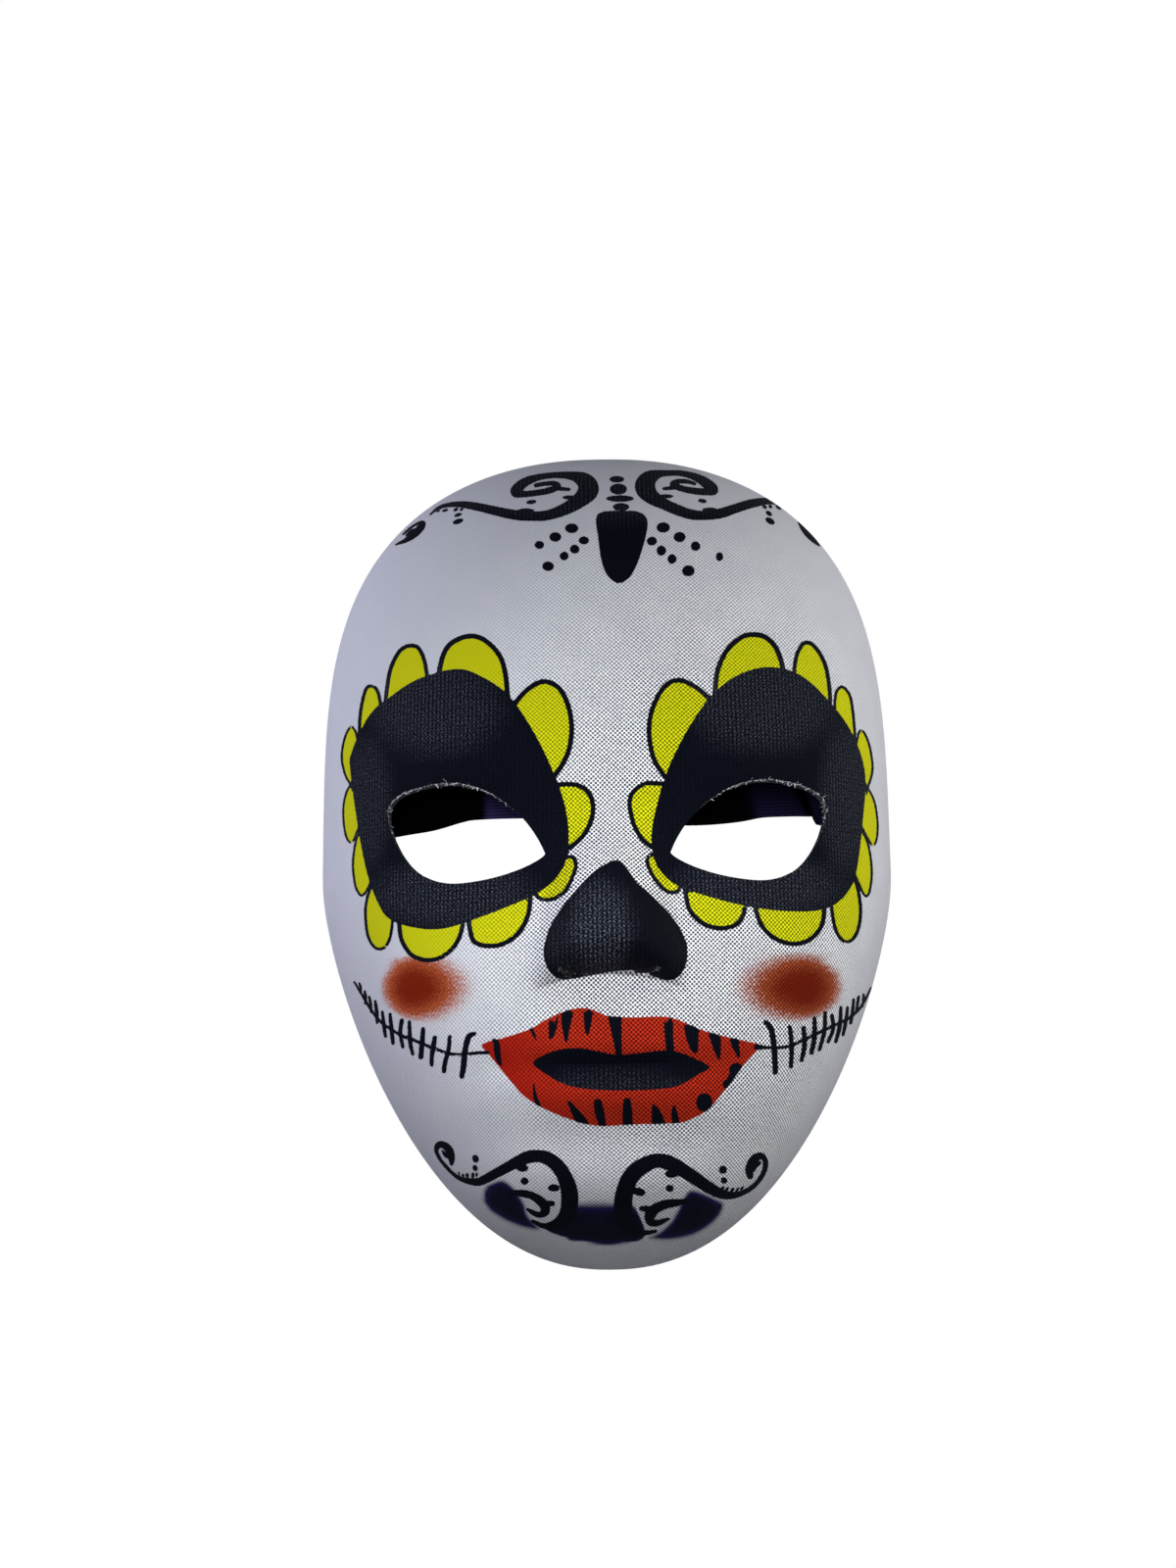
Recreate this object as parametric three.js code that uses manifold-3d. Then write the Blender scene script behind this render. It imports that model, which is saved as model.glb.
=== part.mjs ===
// A moulded full-face mask with a printed knit cover and an elastic head strap.
// It lies face up on its flat rim: +Z comes out of the face, +Y points to the forehead.
// The origin is under the middle of the rim, on the surface that the mask lies on.
import * as THREE from 'three';
import { mergeVertices } from 'three/addons/utils/BufferGeometryUtils.js';
import Module from 'manifold-3d';

// Driving dimensions, in millimetres
const WIDTH = 158; // across the rim, at the cheekbones
const HEIGHT = 226.5; // forehead rim to chin rim
const WIDEST_AT = -6.2; // level of the widest place
const DOME_DEPTH = 62; // face without the nose, above the rim
const CROWN_AT = -22; // level where the plain dome is highest
const NOSE_RISE = 23.5; // nose tip above the dome

const COVER_THICKNESS = 0.6;
const BOND_GAP = 0.3;
const SHELL_THICKNESS = 1.5;
const HEM_LIFT = 0.6; // the cover stops this far above the shell's rim

const STRAP_WIDTH = 20;
const STRAP_THICKNESS = 1.2;
const GLUE = 1.5; // bead that holds the strap's ends to the inside of the shell
const STRAP_LEVEL = 13; // level at which both ends are bonded
const BONDED_HEIGHTS = [30, 23, 16, 10]; // the bonded ends run down the inside of the temples
const STRAP_STEPS = 52;
const FOLD_SLANT = 0.53; // how far the fold in the strap slants, per mm across the band

const HALF_WIDTH = WIDTH / 2;
const HALF_HEIGHT = HEIGHT / 2;

// How round the rim and the sections are: 2 is an ellipse, more is squarer
const RIM_TOP = { along: 3.54, across: 2.16 };
const RIM_CHIN = { along: 1.35, across: 2.21 };
const PROFILE_TOP = 2.7;
const PROFILE_CHIN = 2.6;
const SECTION = 2.4;

const NOSE = { top: 6, tip: -27.5, widest: -36, base: -37, bridgeWidth: 12, baseWidth: 20 };
const NOSE_DROOP = 4.3; // how much lower the underside ends beside the wings
const NOSE_SOFT = 0.1; // how softly the ridge ends at the tip
const NOSE_UNDERSIDE = { along: 1.8, across: 1.5 }; // how round it is

// Soft swellings and hollows of the face; those with an x lie on both sides
const FORMS = [
  { x: 30, y: 20, sx: 20, sy: 9, height: 2.5 }, // brow
  { x: 31, y: -4, sx: 13, sy: 10, height: -5.5 }, // eye socket
  { x: 42, y: -38, sx: 16, sy: 14, height: 2 }, // cheek
  { y: -61, sx: 27, sy: 14, height: 5 }, // round the mouth
  { y: -77, sx: 19, sy: 4.5, height: -2.5 }, // under the lip
  { y: -88, sx: 20, sy: 11, height: 8 }, // chin
];
// Sharper forms, which only the outside shows
const DETAILS = [
  { x: 14.5, y: -33.5, sx: 4.4, sy: 3.8, height: 4.5 }, // nose wing
  { x: 6, y: -53.5, sx: 7, sy: 4, height: 2.6 }, // upper lip, raised on both sides of its dip
  { y: -59.4, sx: 16, sy: 2.3, height: -3.6 }, // parting of the lips
  { y: -66, sx: 12, sy: 4.2, height: 3.4 }, // lower lip
];
// The inside of the shell is plain there, and lower behind the parting
const BACKING = [{ y: -59.4, sx: 17, sy: 5, height: -1.6 }];
const FORMS_FADE_BELOW = 30;

// The openings are die-cut square to the face, so the cutters lean outwards and up
const CUT_LEAN = { x: 0.27, y: 0.2 };
const CUT_LEVEL = 52; // height at which the eye outline is given
const EYE = {
  inner: [13.7, -8.3], top: [45, 11.6], outer: [58, 6.2], bottom: [36, -13.8],
};
// The nostrils are cut through the underside of the nose, so these cutters lean towards the chin
const NOSTRIL = { x: 9.1, y: -37.2, rx: 2.3, ry: 6.6, level: 70 };
const NOSTRIL_LEAN = { x: 0.45, y: -1.2 };

const FINE_TURNS = 28; // facets across a section, outside and inside
const PLAIN_TURNS = 20;
const EYE_STEPS = 8; // facets along each curve of an eye opening
const NOSTRIL_STEPS = 10;
const CUTTER = { from: -10, to: 100 }; // reach of a cutter, well past both faces
const OVERCUT = 5; // how far an inner solid runs out below the rim
const SEARCH_STEPS = 40; // halvings
const TURN_STEP = 0.002; // small steps along the face, for its normal
const LEVEL_STEP = 0.02;
const TINY = 1e-3;

const rounded = (t, along, across) =>
  Math.max(0, 1 - Math.min(1, Math.abs(t)) ** along) ** (1 / across);
const smooth = (t) => {
  const u = Math.min(1, Math.max(0, t));
  return u * u * (3 - 2 * u);
};
const swelling = (x, y, form) => {
  const dx = ((form.x === undefined ? x : Math.abs(x) - form.x)) / form.sx;
  const dy = (y - form.y) / form.sy;
  return form.height * Math.exp(-(dx * dx + dy * dy) / 2);
};

// How far a level is from a middle one towards the forehead or the chin, which are both at 1
const farFrom = (middle, y) => (y - middle) / (y > middle ? HALF_HEIGHT - middle : -HALF_HEIGHT - middle);

// Half the width of the rim at a level, and the height of the plain dome above it
function rimHalfWidth(y) {
  const form = y > WIDEST_AT ? RIM_TOP : RIM_CHIN;
  return HALF_WIDTH * rounded(farFrom(WIDEST_AT, y), form.along, form.across);
}

function domeRidge(y) {
  const profile = y > CROWN_AT ? PROFILE_TOP : PROFILE_CHIN;
  return DOME_DEPTH * rounded(farFrom(CROWN_AT, y), profile, 2);
}

// The smaller of t and 1, rounded off where the two meet
function upToOne(t) {
  const over = Math.max(0, 1 + NOSE_SOFT - t);
  return t < 1 - NOSE_SOFT ? t : 1 - over ** 2 / (4 * NOSE_SOFT);
}

function noseHeight(x, y) {
  const along = upToOne(Math.max(0, (NOSE.top - y) / (NOSE.top - NOSE.tip)));
  const rise = NOSE_RISE * (0.25 * smooth(1.6 * along) + 0.75 * along ** 1.5);
  const spread = smooth((NOSE.top - y) / (NOSE.top - NOSE.widest));
  const halfWidth = NOSE.bridgeWidth + (NOSE.baseWidth - NOSE.bridgeWidth) * spread;
  const out = Math.min(1, Math.abs(x / halfWidth));
  const base = NOSE.base - NOSE_DROOP * out ** 2;
  const below = Math.max(0, (NOSE.tip - y) / (NOSE.tip - base));
  const under = rounded(below, NOSE_UNDERSIDE.along, NOSE_UNDERSIDE.across);
  return rise * under * (1 - out ** 2.4) ** 1.6;
}

// Height over the table of the plain face, with further forms on it
function faceHeight(x, y, further) {
  const width = Math.max(rimHalfWidth(y), TINY);
  const dome = domeRidge(y) * rounded(x / width, SECTION, 2);
  const swellings = [...FORMS, ...further].map((form) => swelling(x, y, form));
  const forms = swellings.reduce((sum, height) => sum + height, noseHeight(x, y));
  return dome + forms * smooth(dome / FORMS_FADE_BELOW);
}

// A point by its level and its turn across the section, from -1 at one rim to 1 at the other
function facePoint(turn, y, further) {
  const x = rimHalfWidth(y) * Math.sin((Math.PI / 2) * turn);
  return new THREE.Vector3(x, y, Math.abs(turn) >= 1 ? 0 : faceHeight(x, y, further));
}

function faceNormal(turn, y, further) {
  const left = facePoint(Math.max(-1, turn - TURN_STEP), y, further);
  const right = facePoint(Math.min(1, turn + TURN_STEP), y, further);
  const low = facePoint(turn, Math.max(-HALF_HEIGHT, y - LEVEL_STEP), further);
  const high = facePoint(turn, Math.min(HALF_HEIGHT, y + LEVEL_STEP), further);
  return right.sub(left).cross(high.sub(low)).normalize();
}

// The face moved inwards by an inset; on the rim it moves in the plane of the rim
function insetPoint(turn, y, inset, further = DETAILS) {
  if (Math.abs(y) >= HALF_HEIGHT) {
    return new THREE.Vector3(0, Math.sign(y) * (HALF_HEIGHT - inset), 0);
  }
  const point = facePoint(turn, y, further);
  const normal = faceNormal(turn, y, further);
  if (Math.abs(turn) >= 1) normal.setZ(0).normalize();
  return point.addScaledVector(normal, -inset);
}

// Levels of the sections: close together over the mouth and nose and towards both ends
function sectionLevels() {
  const levels = [];
  const stretch = (from, to, count, ease) => {
    for (let i = 0; i < count; i++) levels.push(from + (to - from) * ease(i / count));
  };
  stretch(-HALF_HEIGHT, -80, 6, (t) => 1 - Math.cos((Math.PI / 2) * t));
  stretch(-80, -42, 8, (t) => t);
  stretch(-42, -26, 7, (t) => t);
  stretch(-26, 20, 6, (t) => t);
  stretch(20, HALF_HEIGHT, 7, (t) => Math.sin((Math.PI / 2) * t));
  return [...levels, HALF_HEIGHT];
}

// Turns across a section: closer together over the nose and mouth
function sectionTurns(count) {
  return Array.from({ length: count + 1 }, (_, i) => {
    const t = (2 * i) / count - 1;
    return 0.5 * t + 0.5 * t ** 3;
  });
}

// A solid between the inset face and a flat underside: closed sections lofted from chin to forehead
function domeSolid(inset, underside, turns, further) {
  const loops = sectionLevels().map((y) => {
    const arch = turns.map((turn) => insetPoint(turn, y, inset, further));
    const foot = (point) => new THREE.Vector3(point.x, point.y, underside);
    return [...arch, foot(arch.at(-1)), foot(arch[0])];
  });
  return loftedGeometry(loops);
}

// Joins closed loops of equal count into a closed body, with caps where the ends aren't points
function loftedGeometry(loops, capped = false) {
  const count = loops[0].length;
  const last = (loops.length - 1) * count;
  const faces = [];
  for (let row = 0; row < last; row += count) {
    for (let i = 0; i < count; i++) {
      const [a, b] = [row + i, row + ((i + 1) % count)];
      faces.push([a, b, b + count], [a, b + count, a + count]);
    }
  }
  for (let i = 1; capped && i + 1 < count; i++) {
    faces.push([0, i + 1, i], [last, last + i, last + i + 1]);
  }
  const geometry = new THREE.BufferGeometry().setFromPoints(loops.flat());
  geometry.setIndex(faces.flat());
  return withoutFlatFaces(mergeVertices(geometry, TINY));
}

// Drops the triangles that lost an edge where corners were merged
function withoutFlatFaces(geometry) {
  const corners = Array.from(geometry.index.array);
  const faces = [];
  for (let i = 0; i < corners.length; i += 3) {
    const face = corners.slice(i, i + 3);
    if (new Set(face).size === 3) faces.push(...face);
  }
  geometry.setIndex(faces);
  return geometry;
}

// Booleans
const wasm = await Module();
wasm.setup();

function toSolid(geometry) {
  return new wasm.Manifold(new wasm.Mesh({
    numProp: 3,
    vertProperties: new Float32Array(geometry.attributes.position.array),
    triVerts: new Uint32Array(geometry.index.array),
  }));
}

function toGeometry(solid) {
  const mesh = solid.getMesh();
  const geometry = new THREE.BufferGeometry();
  geometry.setAttribute('position', new THREE.Float32BufferAttribute(mesh.vertProperties, 3));
  geometry.setIndex(Array.from(mesh.triVerts));
  geometry.computeVertexNormals();
  return geometry;
}

// The outline of one eye opening, for the side where x is positive
function eyeOutline() {
  const { inner, top, outer, bottom } = EYE;
  const outline = new THREE.Shape();
  outline.moveTo(...inner);
  outline.bezierCurveTo(inner[0] + 4.5, inner[1] + 10.5, top[0] - 17, top[1] + 0.6, ...top);
  outline.bezierCurveTo(top[0] + 7, top[1] - 0.2, outer[0] + 0.4, outer[1] + 5, ...outer);
  outline.bezierCurveTo(outer[0] - 0.6, outer[1] - 6.5, bottom[0] + 14, bottom[1] - 0.4, ...bottom);
  outline.bezierCurveTo(bottom[0] - 10.5, bottom[1] + 0.3, inner[0] + 2.5, inner[1] - 2.2, ...inner);
  return outline;
}

// An outline given at a level, swept up and down along a lean
function cutter(outline, curveSegments, lean, level) {
  const depth = CUTTER.to - CUTTER.from;
  const sweep = { depth, steps: 1, curveSegments, bevelEnabled: false };
  const geometry = new THREE.ExtrudeGeometry(outline, sweep);
  geometry.translate(0, 0, CUTTER.from - level);
  geometry.applyMatrix4(new THREE.Matrix4().makeShear(0, 0, 0, 0, lean.x, lean.y));
  geometry.translate(0, 0, level);
  geometry.deleteAttribute('normal');
  geometry.deleteAttribute('uv');
  return toSolid(mergeVertices(geometry, TINY));
}

function openings() {
  const nostril = new THREE.Shape();
  nostril.absellipse(NOSTRIL.x, NOSTRIL.y, NOSTRIL.rx, NOSTRIL.ry, 0, 2 * Math.PI, false, 0);
  const eye = cutter(eyeOutline(), EYE_STEPS, CUT_LEAN, CUT_LEVEL);
  const nose = cutter(nostril, NOSTRIL_STEPS, NOSTRIL_LEAN, NOSTRIL.level);
  return [eye, nose].flatMap((hole) => [hole, hole.mirror([1, 0, 0])]);
}

const holes = openings();
const cutOpenings = (solid) => holes.reduce((rest, hole) => rest.subtract(hole), solid);

const fineTurns = sectionTurns(FINE_TURNS);
const plainTurns = sectionTurns(PLAIN_TURNS);

// Solids
function printedFabricCover() {
  const outside = toSolid(domeSolid(0, 0, fineTurns));
  const inside = toSolid(domeSolid(COVER_THICKNESS, -OVERCUT, fineTurns));
  const hem = outside.subtract(inside).trimByPlane([0, 0, 1], HEM_LIFT);
  return toGeometry(cutOpenings(hem));
}

function mouldedShell() {
  const depth = COVER_THICKNESS + BOND_GAP;
  const outside = toSolid(domeSolid(depth, 0, fineTurns));
  const inside = toSolid(domeSolid(depth + SHELL_THICKNESS, -OVERCUT, plainTurns, BACKING));
  return toGeometry(cutOpenings(outside.subtract(inside)));
}

// The place across the mask, at a level and a height, that is an inset inwards of the face
function placeInside(y, z, inset) {
  let [low, high] = [0.5, 1];
  for (let i = 0; i < SEARCH_STEPS; i++) {
    const middle = (low + high) / 2;
    if (insetPoint(middle, y, inset).z > z) low = middle;
    else high = middle;
  }
  return insetPoint(low, y, inset).x;
}

// The strap's run, seen from the chin: x, y and z of the middle of the band. It is bonded to the
// inside of both temples, lies on the table and is folded over itself near the right temple.
function strapRun() {
  const half = STRAP_THICKNESS / 2;
  const inset = COVER_THICKNESS + BOND_GAP + SHELL_THICKNESS + GLUE + half;
  const bonded = (side) => BONDED_HEIGHTS.map((z) => [
    side * placeInside(STRAP_LEVEL, z, inset), STRAP_LEVEL, z,
  ]);
  const lying = BOND_GAP + half;
  const left = bonded(-1);
  const right = bonded(1).reverse();
  const across = [
    [-73.2, 13.2, 5], [-70, 13.6, 1.6], [-64, 14.6, lying], [-56, 15.9, lying], [-50, 16.9, lying],
    [-43, 18.9, lying], [-37, 19.9, lying], [-22, 20.2, lying], [0, 19.4, lying], [18, 17.9, lying],
    [27, 17.7, lying], [36, 18.4, lying], [43, 19.6, lying], [52, 19.9, lying], [58, 19.8, 1],
    [61.6, 19.7, 2.2], [61.8, 19.5, 3.6], [59.4, 18.6, 4.9], [56.4, 17.4, 5.7], [54.8, 16.7, 7.2],
    [56.4, 16, 8.8], [60.5, 15.2, 9.2], [66, 14, 8.4], [71, 13.4, 8],
  ];
  return [...left, ...across, ...right].map((p) => new THREE.Vector3(...p));
}

// The strap is folded askew: near the fold its two edges are shifted along the run
function foldShift({ x, z }) {
  const folded = smooth((z - 0.9) / 2) * smooth((12 - z) / 2) * smooth((72 - x) / 14);
  return x > 0 ? FOLD_SLANT * folded : 0;
}

// A flat band along a run: its width lies along Y, leaning with the run
function bandGeometry(run, width, thickness) {
  const loops = run.map((point, i) => {
    const ahead = run[Math.min(i + 1, run.length - 1)];
    const behind = run[Math.max(i - 1, 0)];
    const along = ahead.clone().sub(behind).normalize();
    const flat = new THREE.Vector3(0, 1, 0);
    flat.addScaledVector(along, -along.y).normalize();
    const up = along.clone().cross(flat).normalize();
    return [[-1, -1], [1, -1], [1, 1], [-1, 1]].map(([s, t]) => point.clone()
      .addScaledVector(flat, (s * width) / 2)
      .addScaledVector(up, (t * thickness) / 2)
      .setX(point.x + ((s * width) / 2) * (flat.x - foldShift(point)) + ((t * thickness) / 2) * up.x));
  });
  return loftedGeometry(loops, true);
}

function elasticStrap() {
  const run = new THREE.CatmullRomCurve3(strapRun(), false, 'centripetal');
  const geometry = bandGeometry(run.getPoints(STRAP_STEPS), STRAP_WIDTH, STRAP_THICKNESS);
  geometry.computeVertexNormals();
  return geometry;
}

// Materials
const materials = {
  cover: new THREE.MeshStandardMaterial({ color: 0xcfcfd4, roughness: 0.9, metalness: 0 }),
  shell: new THREE.MeshStandardMaterial({ color: 0x141416, roughness: 0.55, metalness: 0 }),
  strap: new THREE.MeshStandardMaterial({ color: 0x16161c, roughness: 0.85, metalness: 0 }),
};

function part(name, geometry, material) {
  const mesh = new THREE.Mesh(geometry, material);
  mesh.name = name;
  return mesh;
}

const mask = new THREE.Group();
mask.add(
  part('moulded_shell', mouldedShell(), materials.shell),
  part('printed_fabric_cover', printedFabricCover(), materials.cover),
  part('elastic_strap', elasticStrap(), materials.strap),
);

export default mask;
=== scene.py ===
# A printed full-face mask that lies face up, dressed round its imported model.
import math
import random

import bmesh
import bpy
import numpy as np
from mathutils import Matrix, Vector


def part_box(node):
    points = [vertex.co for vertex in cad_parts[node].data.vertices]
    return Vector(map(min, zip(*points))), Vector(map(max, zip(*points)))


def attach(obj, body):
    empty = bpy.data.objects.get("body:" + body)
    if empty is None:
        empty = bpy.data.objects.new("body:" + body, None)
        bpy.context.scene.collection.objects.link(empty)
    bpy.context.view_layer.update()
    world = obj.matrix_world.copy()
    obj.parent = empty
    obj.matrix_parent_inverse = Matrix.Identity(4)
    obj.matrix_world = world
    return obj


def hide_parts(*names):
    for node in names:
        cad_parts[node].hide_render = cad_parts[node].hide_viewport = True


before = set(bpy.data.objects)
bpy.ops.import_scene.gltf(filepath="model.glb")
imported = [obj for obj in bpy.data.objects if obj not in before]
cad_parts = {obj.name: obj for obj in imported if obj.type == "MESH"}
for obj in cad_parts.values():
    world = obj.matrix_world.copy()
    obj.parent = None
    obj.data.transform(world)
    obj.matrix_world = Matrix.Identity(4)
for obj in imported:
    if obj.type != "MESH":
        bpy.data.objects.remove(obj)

mm = 0.001
random.seed(7)
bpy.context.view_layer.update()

# Camera, at the photograph's angle; lengths in millimetres
view = {
    "lookAt": (-4.8, 14.4, 35.0), "distance": 480.0,
    "azimuth": 1.0, "elevation": 81.0, "roll": -1.64,  # degrees
    "lens": 41.88, "sensorHeight": 36.0,
}


def viewAxes():
    a, e, r = (math.radians(view[key]) for key in ("azimuth", "elevation", "roll"))
    back = Vector((math.sin(a) * math.cos(e), -math.cos(a) * math.cos(e), math.sin(e)))
    level = Vector((0, 0, 1)).cross(back).normalized()
    upright = back.cross(level)
    right = level * math.cos(r) + upright * math.sin(r)
    return right, back.cross(right), back


def addObject(name, data):
    made = bpy.data.objects.new(name, data)
    bpy.context.collection.objects.link(made)
    return made


def makeCamera():
    right, up, back = viewAxes()
    data = bpy.data.cameras.new("camera")
    data.sensor_fit = "VERTICAL"
    data.sensor_height = view["sensorHeight"]
    data.lens = view["lens"]
    data.clip_start = 0.01
    camera = addObject("camera", data)
    place = (Vector(view["lookAt"]) + back * view["distance"]) * mm
    turn = Matrix((right, up, back)).transposed().to_4x4()
    camera.matrix_world = Matrix.Translation(place) @ turn
    bpy.context.scene.camera = camera


makeCamera()
print("camera ready")

# The face, in millimetres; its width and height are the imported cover's
coverLow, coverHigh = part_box("printed_fabric_cover")
halfWide = (coverHigh.x - coverLow.x) / 2 / mm
halfTall = (coverHigh.y - coverLow.y) / 2 / mm
face = {
    "widestAt": -6.2, "domeDepth": 62.0, "crownAt": -22.0,
    "rimTop": (3.54, 2.16), "rimChin": (1.35, 2.21), "rimSoft": 0.05,  # how round, along and across
    "profileTop": 2.7, "profileChin": 2.6, "section": 2.4,
    "formsFadeBelow": 30.0,
}
noseForm = {
    "rise": 23.5, "top": 6.0, "tip": -27.5, "widest": -36.0, "base": -37.0, "underside": (1.8, 1.5),
    "bridge": 12.0, "wings": 20.0, "droop": 4.3, "soft": 0.1,
    "steepAbove": 1.2, "steepAcross": 0.75, "steepBelow": 5.0,  # where it is steep, for the mesh
}
# Soft swellings and hollows: x, y, spread across, spread along, height; those with an x are on both sides
forms = [
    (30, 20, 20, 9, 2.5), (31, -4, 13, 10, -5.5), (42, -38, 16, 14, 2),
    (0, -61, 27, 14, 5), (0, -77, 19, 4.5, -2.5), (0, -88, 20, 11, 8),
]
outsideForms = [
    (14.5, -33.5, 4.4, 3.8, 4.5), (6, -53.5, 7, 4, 2.6), (0, -59.4, 16, 2.3, -3.6),
    (0, -66, 12, 4.2, 3.4),
]
insideForms = [(0, -59.4, 17, 5, -1.6)]
layers = {"cover": 0.6, "bond": 0.3, "shell": 1.5, "hemLift": 0.6}  # thicknesses


def rounded(t, along, across):
    return np.clip(1 - np.clip(np.abs(t), 0, 1) ** along, 0, 1) ** (1 / across)


def smooth(t):
    t = np.clip(t, 0, 1)
    return t * t * (3 - 2 * t)


def farFrom(middle, y):
    return np.where(y > middle, (y - middle) / (halfTall - middle), (middle - y) / (halfTall + middle))


def rimHalfWidth(y):
    t, bend = farFrom(face["widestAt"], y), face["rimSoft"]
    t = (np.hypot(t, bend) - bend) / (math.hypot(1, bend) - bend)
    return halfWide * np.where(
        y > face["widestAt"], rounded(t, *face["rimTop"]), rounded(t, *face["rimChin"]))


def domeRidge(y):
    t = farFrom(face["crownAt"], y)
    profile = np.where(y > face["crownAt"], face["profileTop"], face["profileChin"])
    return face["domeDepth"] * rounded(t, profile, 2)


def noseHeight(x, y):
    f = noseForm
    along = np.clip((f["top"] - y) / (f["top"] - f["tip"]), 0, 1 + f["soft"])
    along = np.where(along < 1 - f["soft"], along, 1 - (1 + f["soft"] - along) ** 2 / (4 * f["soft"]))
    rise = f["rise"] * (0.25 * smooth(1.6 * along) + 0.75 * along ** 1.5)
    half = f["bridge"] + (f["wings"] - f["bridge"]) * smooth((f["top"] - y) / (f["top"] - f["widest"]))
    out = np.minimum(1, np.abs(x / half))
    base = f["base"] - f["droop"] * out ** 2
    under = rounded(np.clip((f["tip"] - y) / (f["tip"] - base), 0, 1), *f["underside"])
    return rise * under * (1 - out ** 2.4) ** 1.6


def faceHeight(x, y, further):
    dome = domeRidge(y) * rounded(x / np.maximum(rimHalfWidth(y), 1e-3), face["section"], 2)
    relief = noseHeight(x, y)
    for formX, formY, spreadX, spreadY, height in forms + further:
        dx = (np.abs(x) - formX) / spreadX if formX else x / spreadX
        relief = relief + height * np.exp(-(dx ** 2 + ((y - formY) / spreadY) ** 2) / 2)
    return dome + relief * smooth(dome / face["formsFadeBelow"])


def facePoints(turn, y, further):
    x = rimHalfWidth(y) * np.sin(math.pi / 2 * turn)
    z = np.where(np.abs(turn) >= 1, 0, faceHeight(x, y, further))
    return np.stack([x, y, z], axis=1)


# The face moved inwards; on the rim it moves in the rim's own plane
def insetPoints(turn, y, inset, further):
    step, small = 0.002, 0.02
    across = facePoints(np.minimum(1, turn + step), y, further)
    across -= facePoints(np.maximum(-1, turn - step), y, further)
    along = facePoints(turn, np.minimum(halfTall, y + small), further)
    along -= facePoints(turn, np.maximum(-halfTall, y - small), further)
    normal = np.cross(across, along)
    normal[np.abs(turn) >= 1, 2] = 0
    end = np.abs(y) >= halfTall - 1e-4
    normal[end] = np.stack([0 * y[end], np.sign(y[end]), 0 * y[end]], axis=1)
    normal /= np.maximum(np.linalg.norm(normal, axis=1, keepdims=True), 1e-9)
    return facePoints(turn, y, further) - normal * inset


# The openings: cut square to the face, so the cuts lean outwards and up
cuts = {
    "lean": (0.27, 0.2), "level": 52.0,
    "eye": [(13.7, -8.3), (18.2, 2.2), (28, 12.2), (45, 11.6), (52, 11.4), (58.4, 11.2), (58, 6.2),
            (57.4, -0.3), (50, -14.2), (36, -13.8), (25.5, -13.5), (16.2, -10.5), (13.7, -8.3)],
    "nostril": (9.1, -37.2, 2.3, 6.6), "nostrilLean": (0.45, -1.2), "nostrilLevel": 70.0,
    "nostrilBelow": -32.0,  # only the underside of the nose is cut
    "eyeAbove": 30.0, "eyeBlend": (4.0, 0.6), "nostrilBlend": (1.0, 0.2), "nostrilReach": 2.0,
    "steepest": 0.4,
}


# Points along a run of cubic curves, given as end, handle, handle, end, and so on
def alongCurves(knots, steps):
    t = np.linspace(0, 1, steps, endpoint=False)[:, None]
    knots = np.array(knots, float)
    runs = []
    for i in range(0, len(knots) - 3, 3):
        a, b, c, d = knots[i:i + 4]
        runs.append(a * (1 - t) ** 3 + 3 * b * t * (1 - t) ** 2 + 3 * c * t ** 2 * (1 - t) + d * t ** 3)
    return np.concatenate(runs)


# A smooth line through points; further numbers beside x and y, such as a width, go along with them
def throughPoints(points, closed, steps):
    points = np.array(points, float)
    if closed:
        before, after = np.roll(points, 1, axis=0), np.roll(points, -1, axis=0)
        nextAfter = np.roll(points, -2, axis=0)
    else:
        padded = np.concatenate([points[:1], points, points[-1:], points[-1:]])
        before, points, after, nextAfter = padded[:-3], padded[1:-2], padded[2:-1], padded[3:]
    t = np.linspace(0, 1, steps, endpoint=False)[None, :, None]
    before, points, after, nextAfter = (p[:, None, :] for p in (before, points, after, nextAfter))
    line = 0.5 * (2 * points + (after - before) * t
                  + (2 * before - 5 * points + 4 * after - nextAfter) * t ** 2
                  + (3 * points - before - 3 * after + nextAfter) * t ** 3)
    line = line.reshape(-1, line.shape[2])
    return line if closed else line[:1 - steps]


farAway = 5.0  # distances are worked out up to here


# How far places lie from a line that may have half widths, and from an outline, where inside is below 0
def lineAway(places, line):
    best = np.full(len(places), 1e3)
    for start, end in zip(line[:-1], line[1:]):
        run = end[:2] - start[:2]
        t = np.clip((places - start[:2]) @ run / max(run @ run, 1e-9), 0, 1)
        away = np.hypot(*(places - start[:2] - t[:, None] * run).T)
        if len(start) > 2:
            away = away - (start[2] + (end[2] - start[2]) * t) / 2
        best = np.minimum(best, away)
    return best


def outlineAway(places, outline):
    ring = np.concatenate([outline, outline[:1]])
    within = np.zeros(len(places), bool)
    for (ax, ay), (bx, by) in zip(ring[:-1], ring[1:]):
        if ay != by:
            crosses = (ay > places[:, 1]) != (by > places[:, 1])
            within ^= crosses & (places[:, 0] < ax + (places[:, 1] - ay) * (bx - ax) / (by - ay))
    away = lineAway(places, ring)
    return np.where(within, -away, away)


# The same, worked out only for places near the shape
def near(measure, places, shape):
    low, high = shape[:, :2].min(axis=0) - farAway, shape[:, :2].max(axis=0) + farAway
    close = np.all((places > low) & (places < high), axis=1)
    away = np.full(len(places), farAway)
    away[close] = np.minimum(measure(places[close], shape), farAway)
    return away


def eyeAway(points):
    lift = points[:, 2:] - cuts["level"]
    outline = alongCurves(cuts["eye"], 24)
    best = np.full(len(points), farAway)
    for side in (1, -1):
        flat = points[:, :2] * (side, 1) - lift * cuts["lean"]
        best = np.minimum(best, near(outlineAway, flat, outline))
    return np.where(points[:, 2] > cuts["eyeAbove"], best, farAway)


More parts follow.
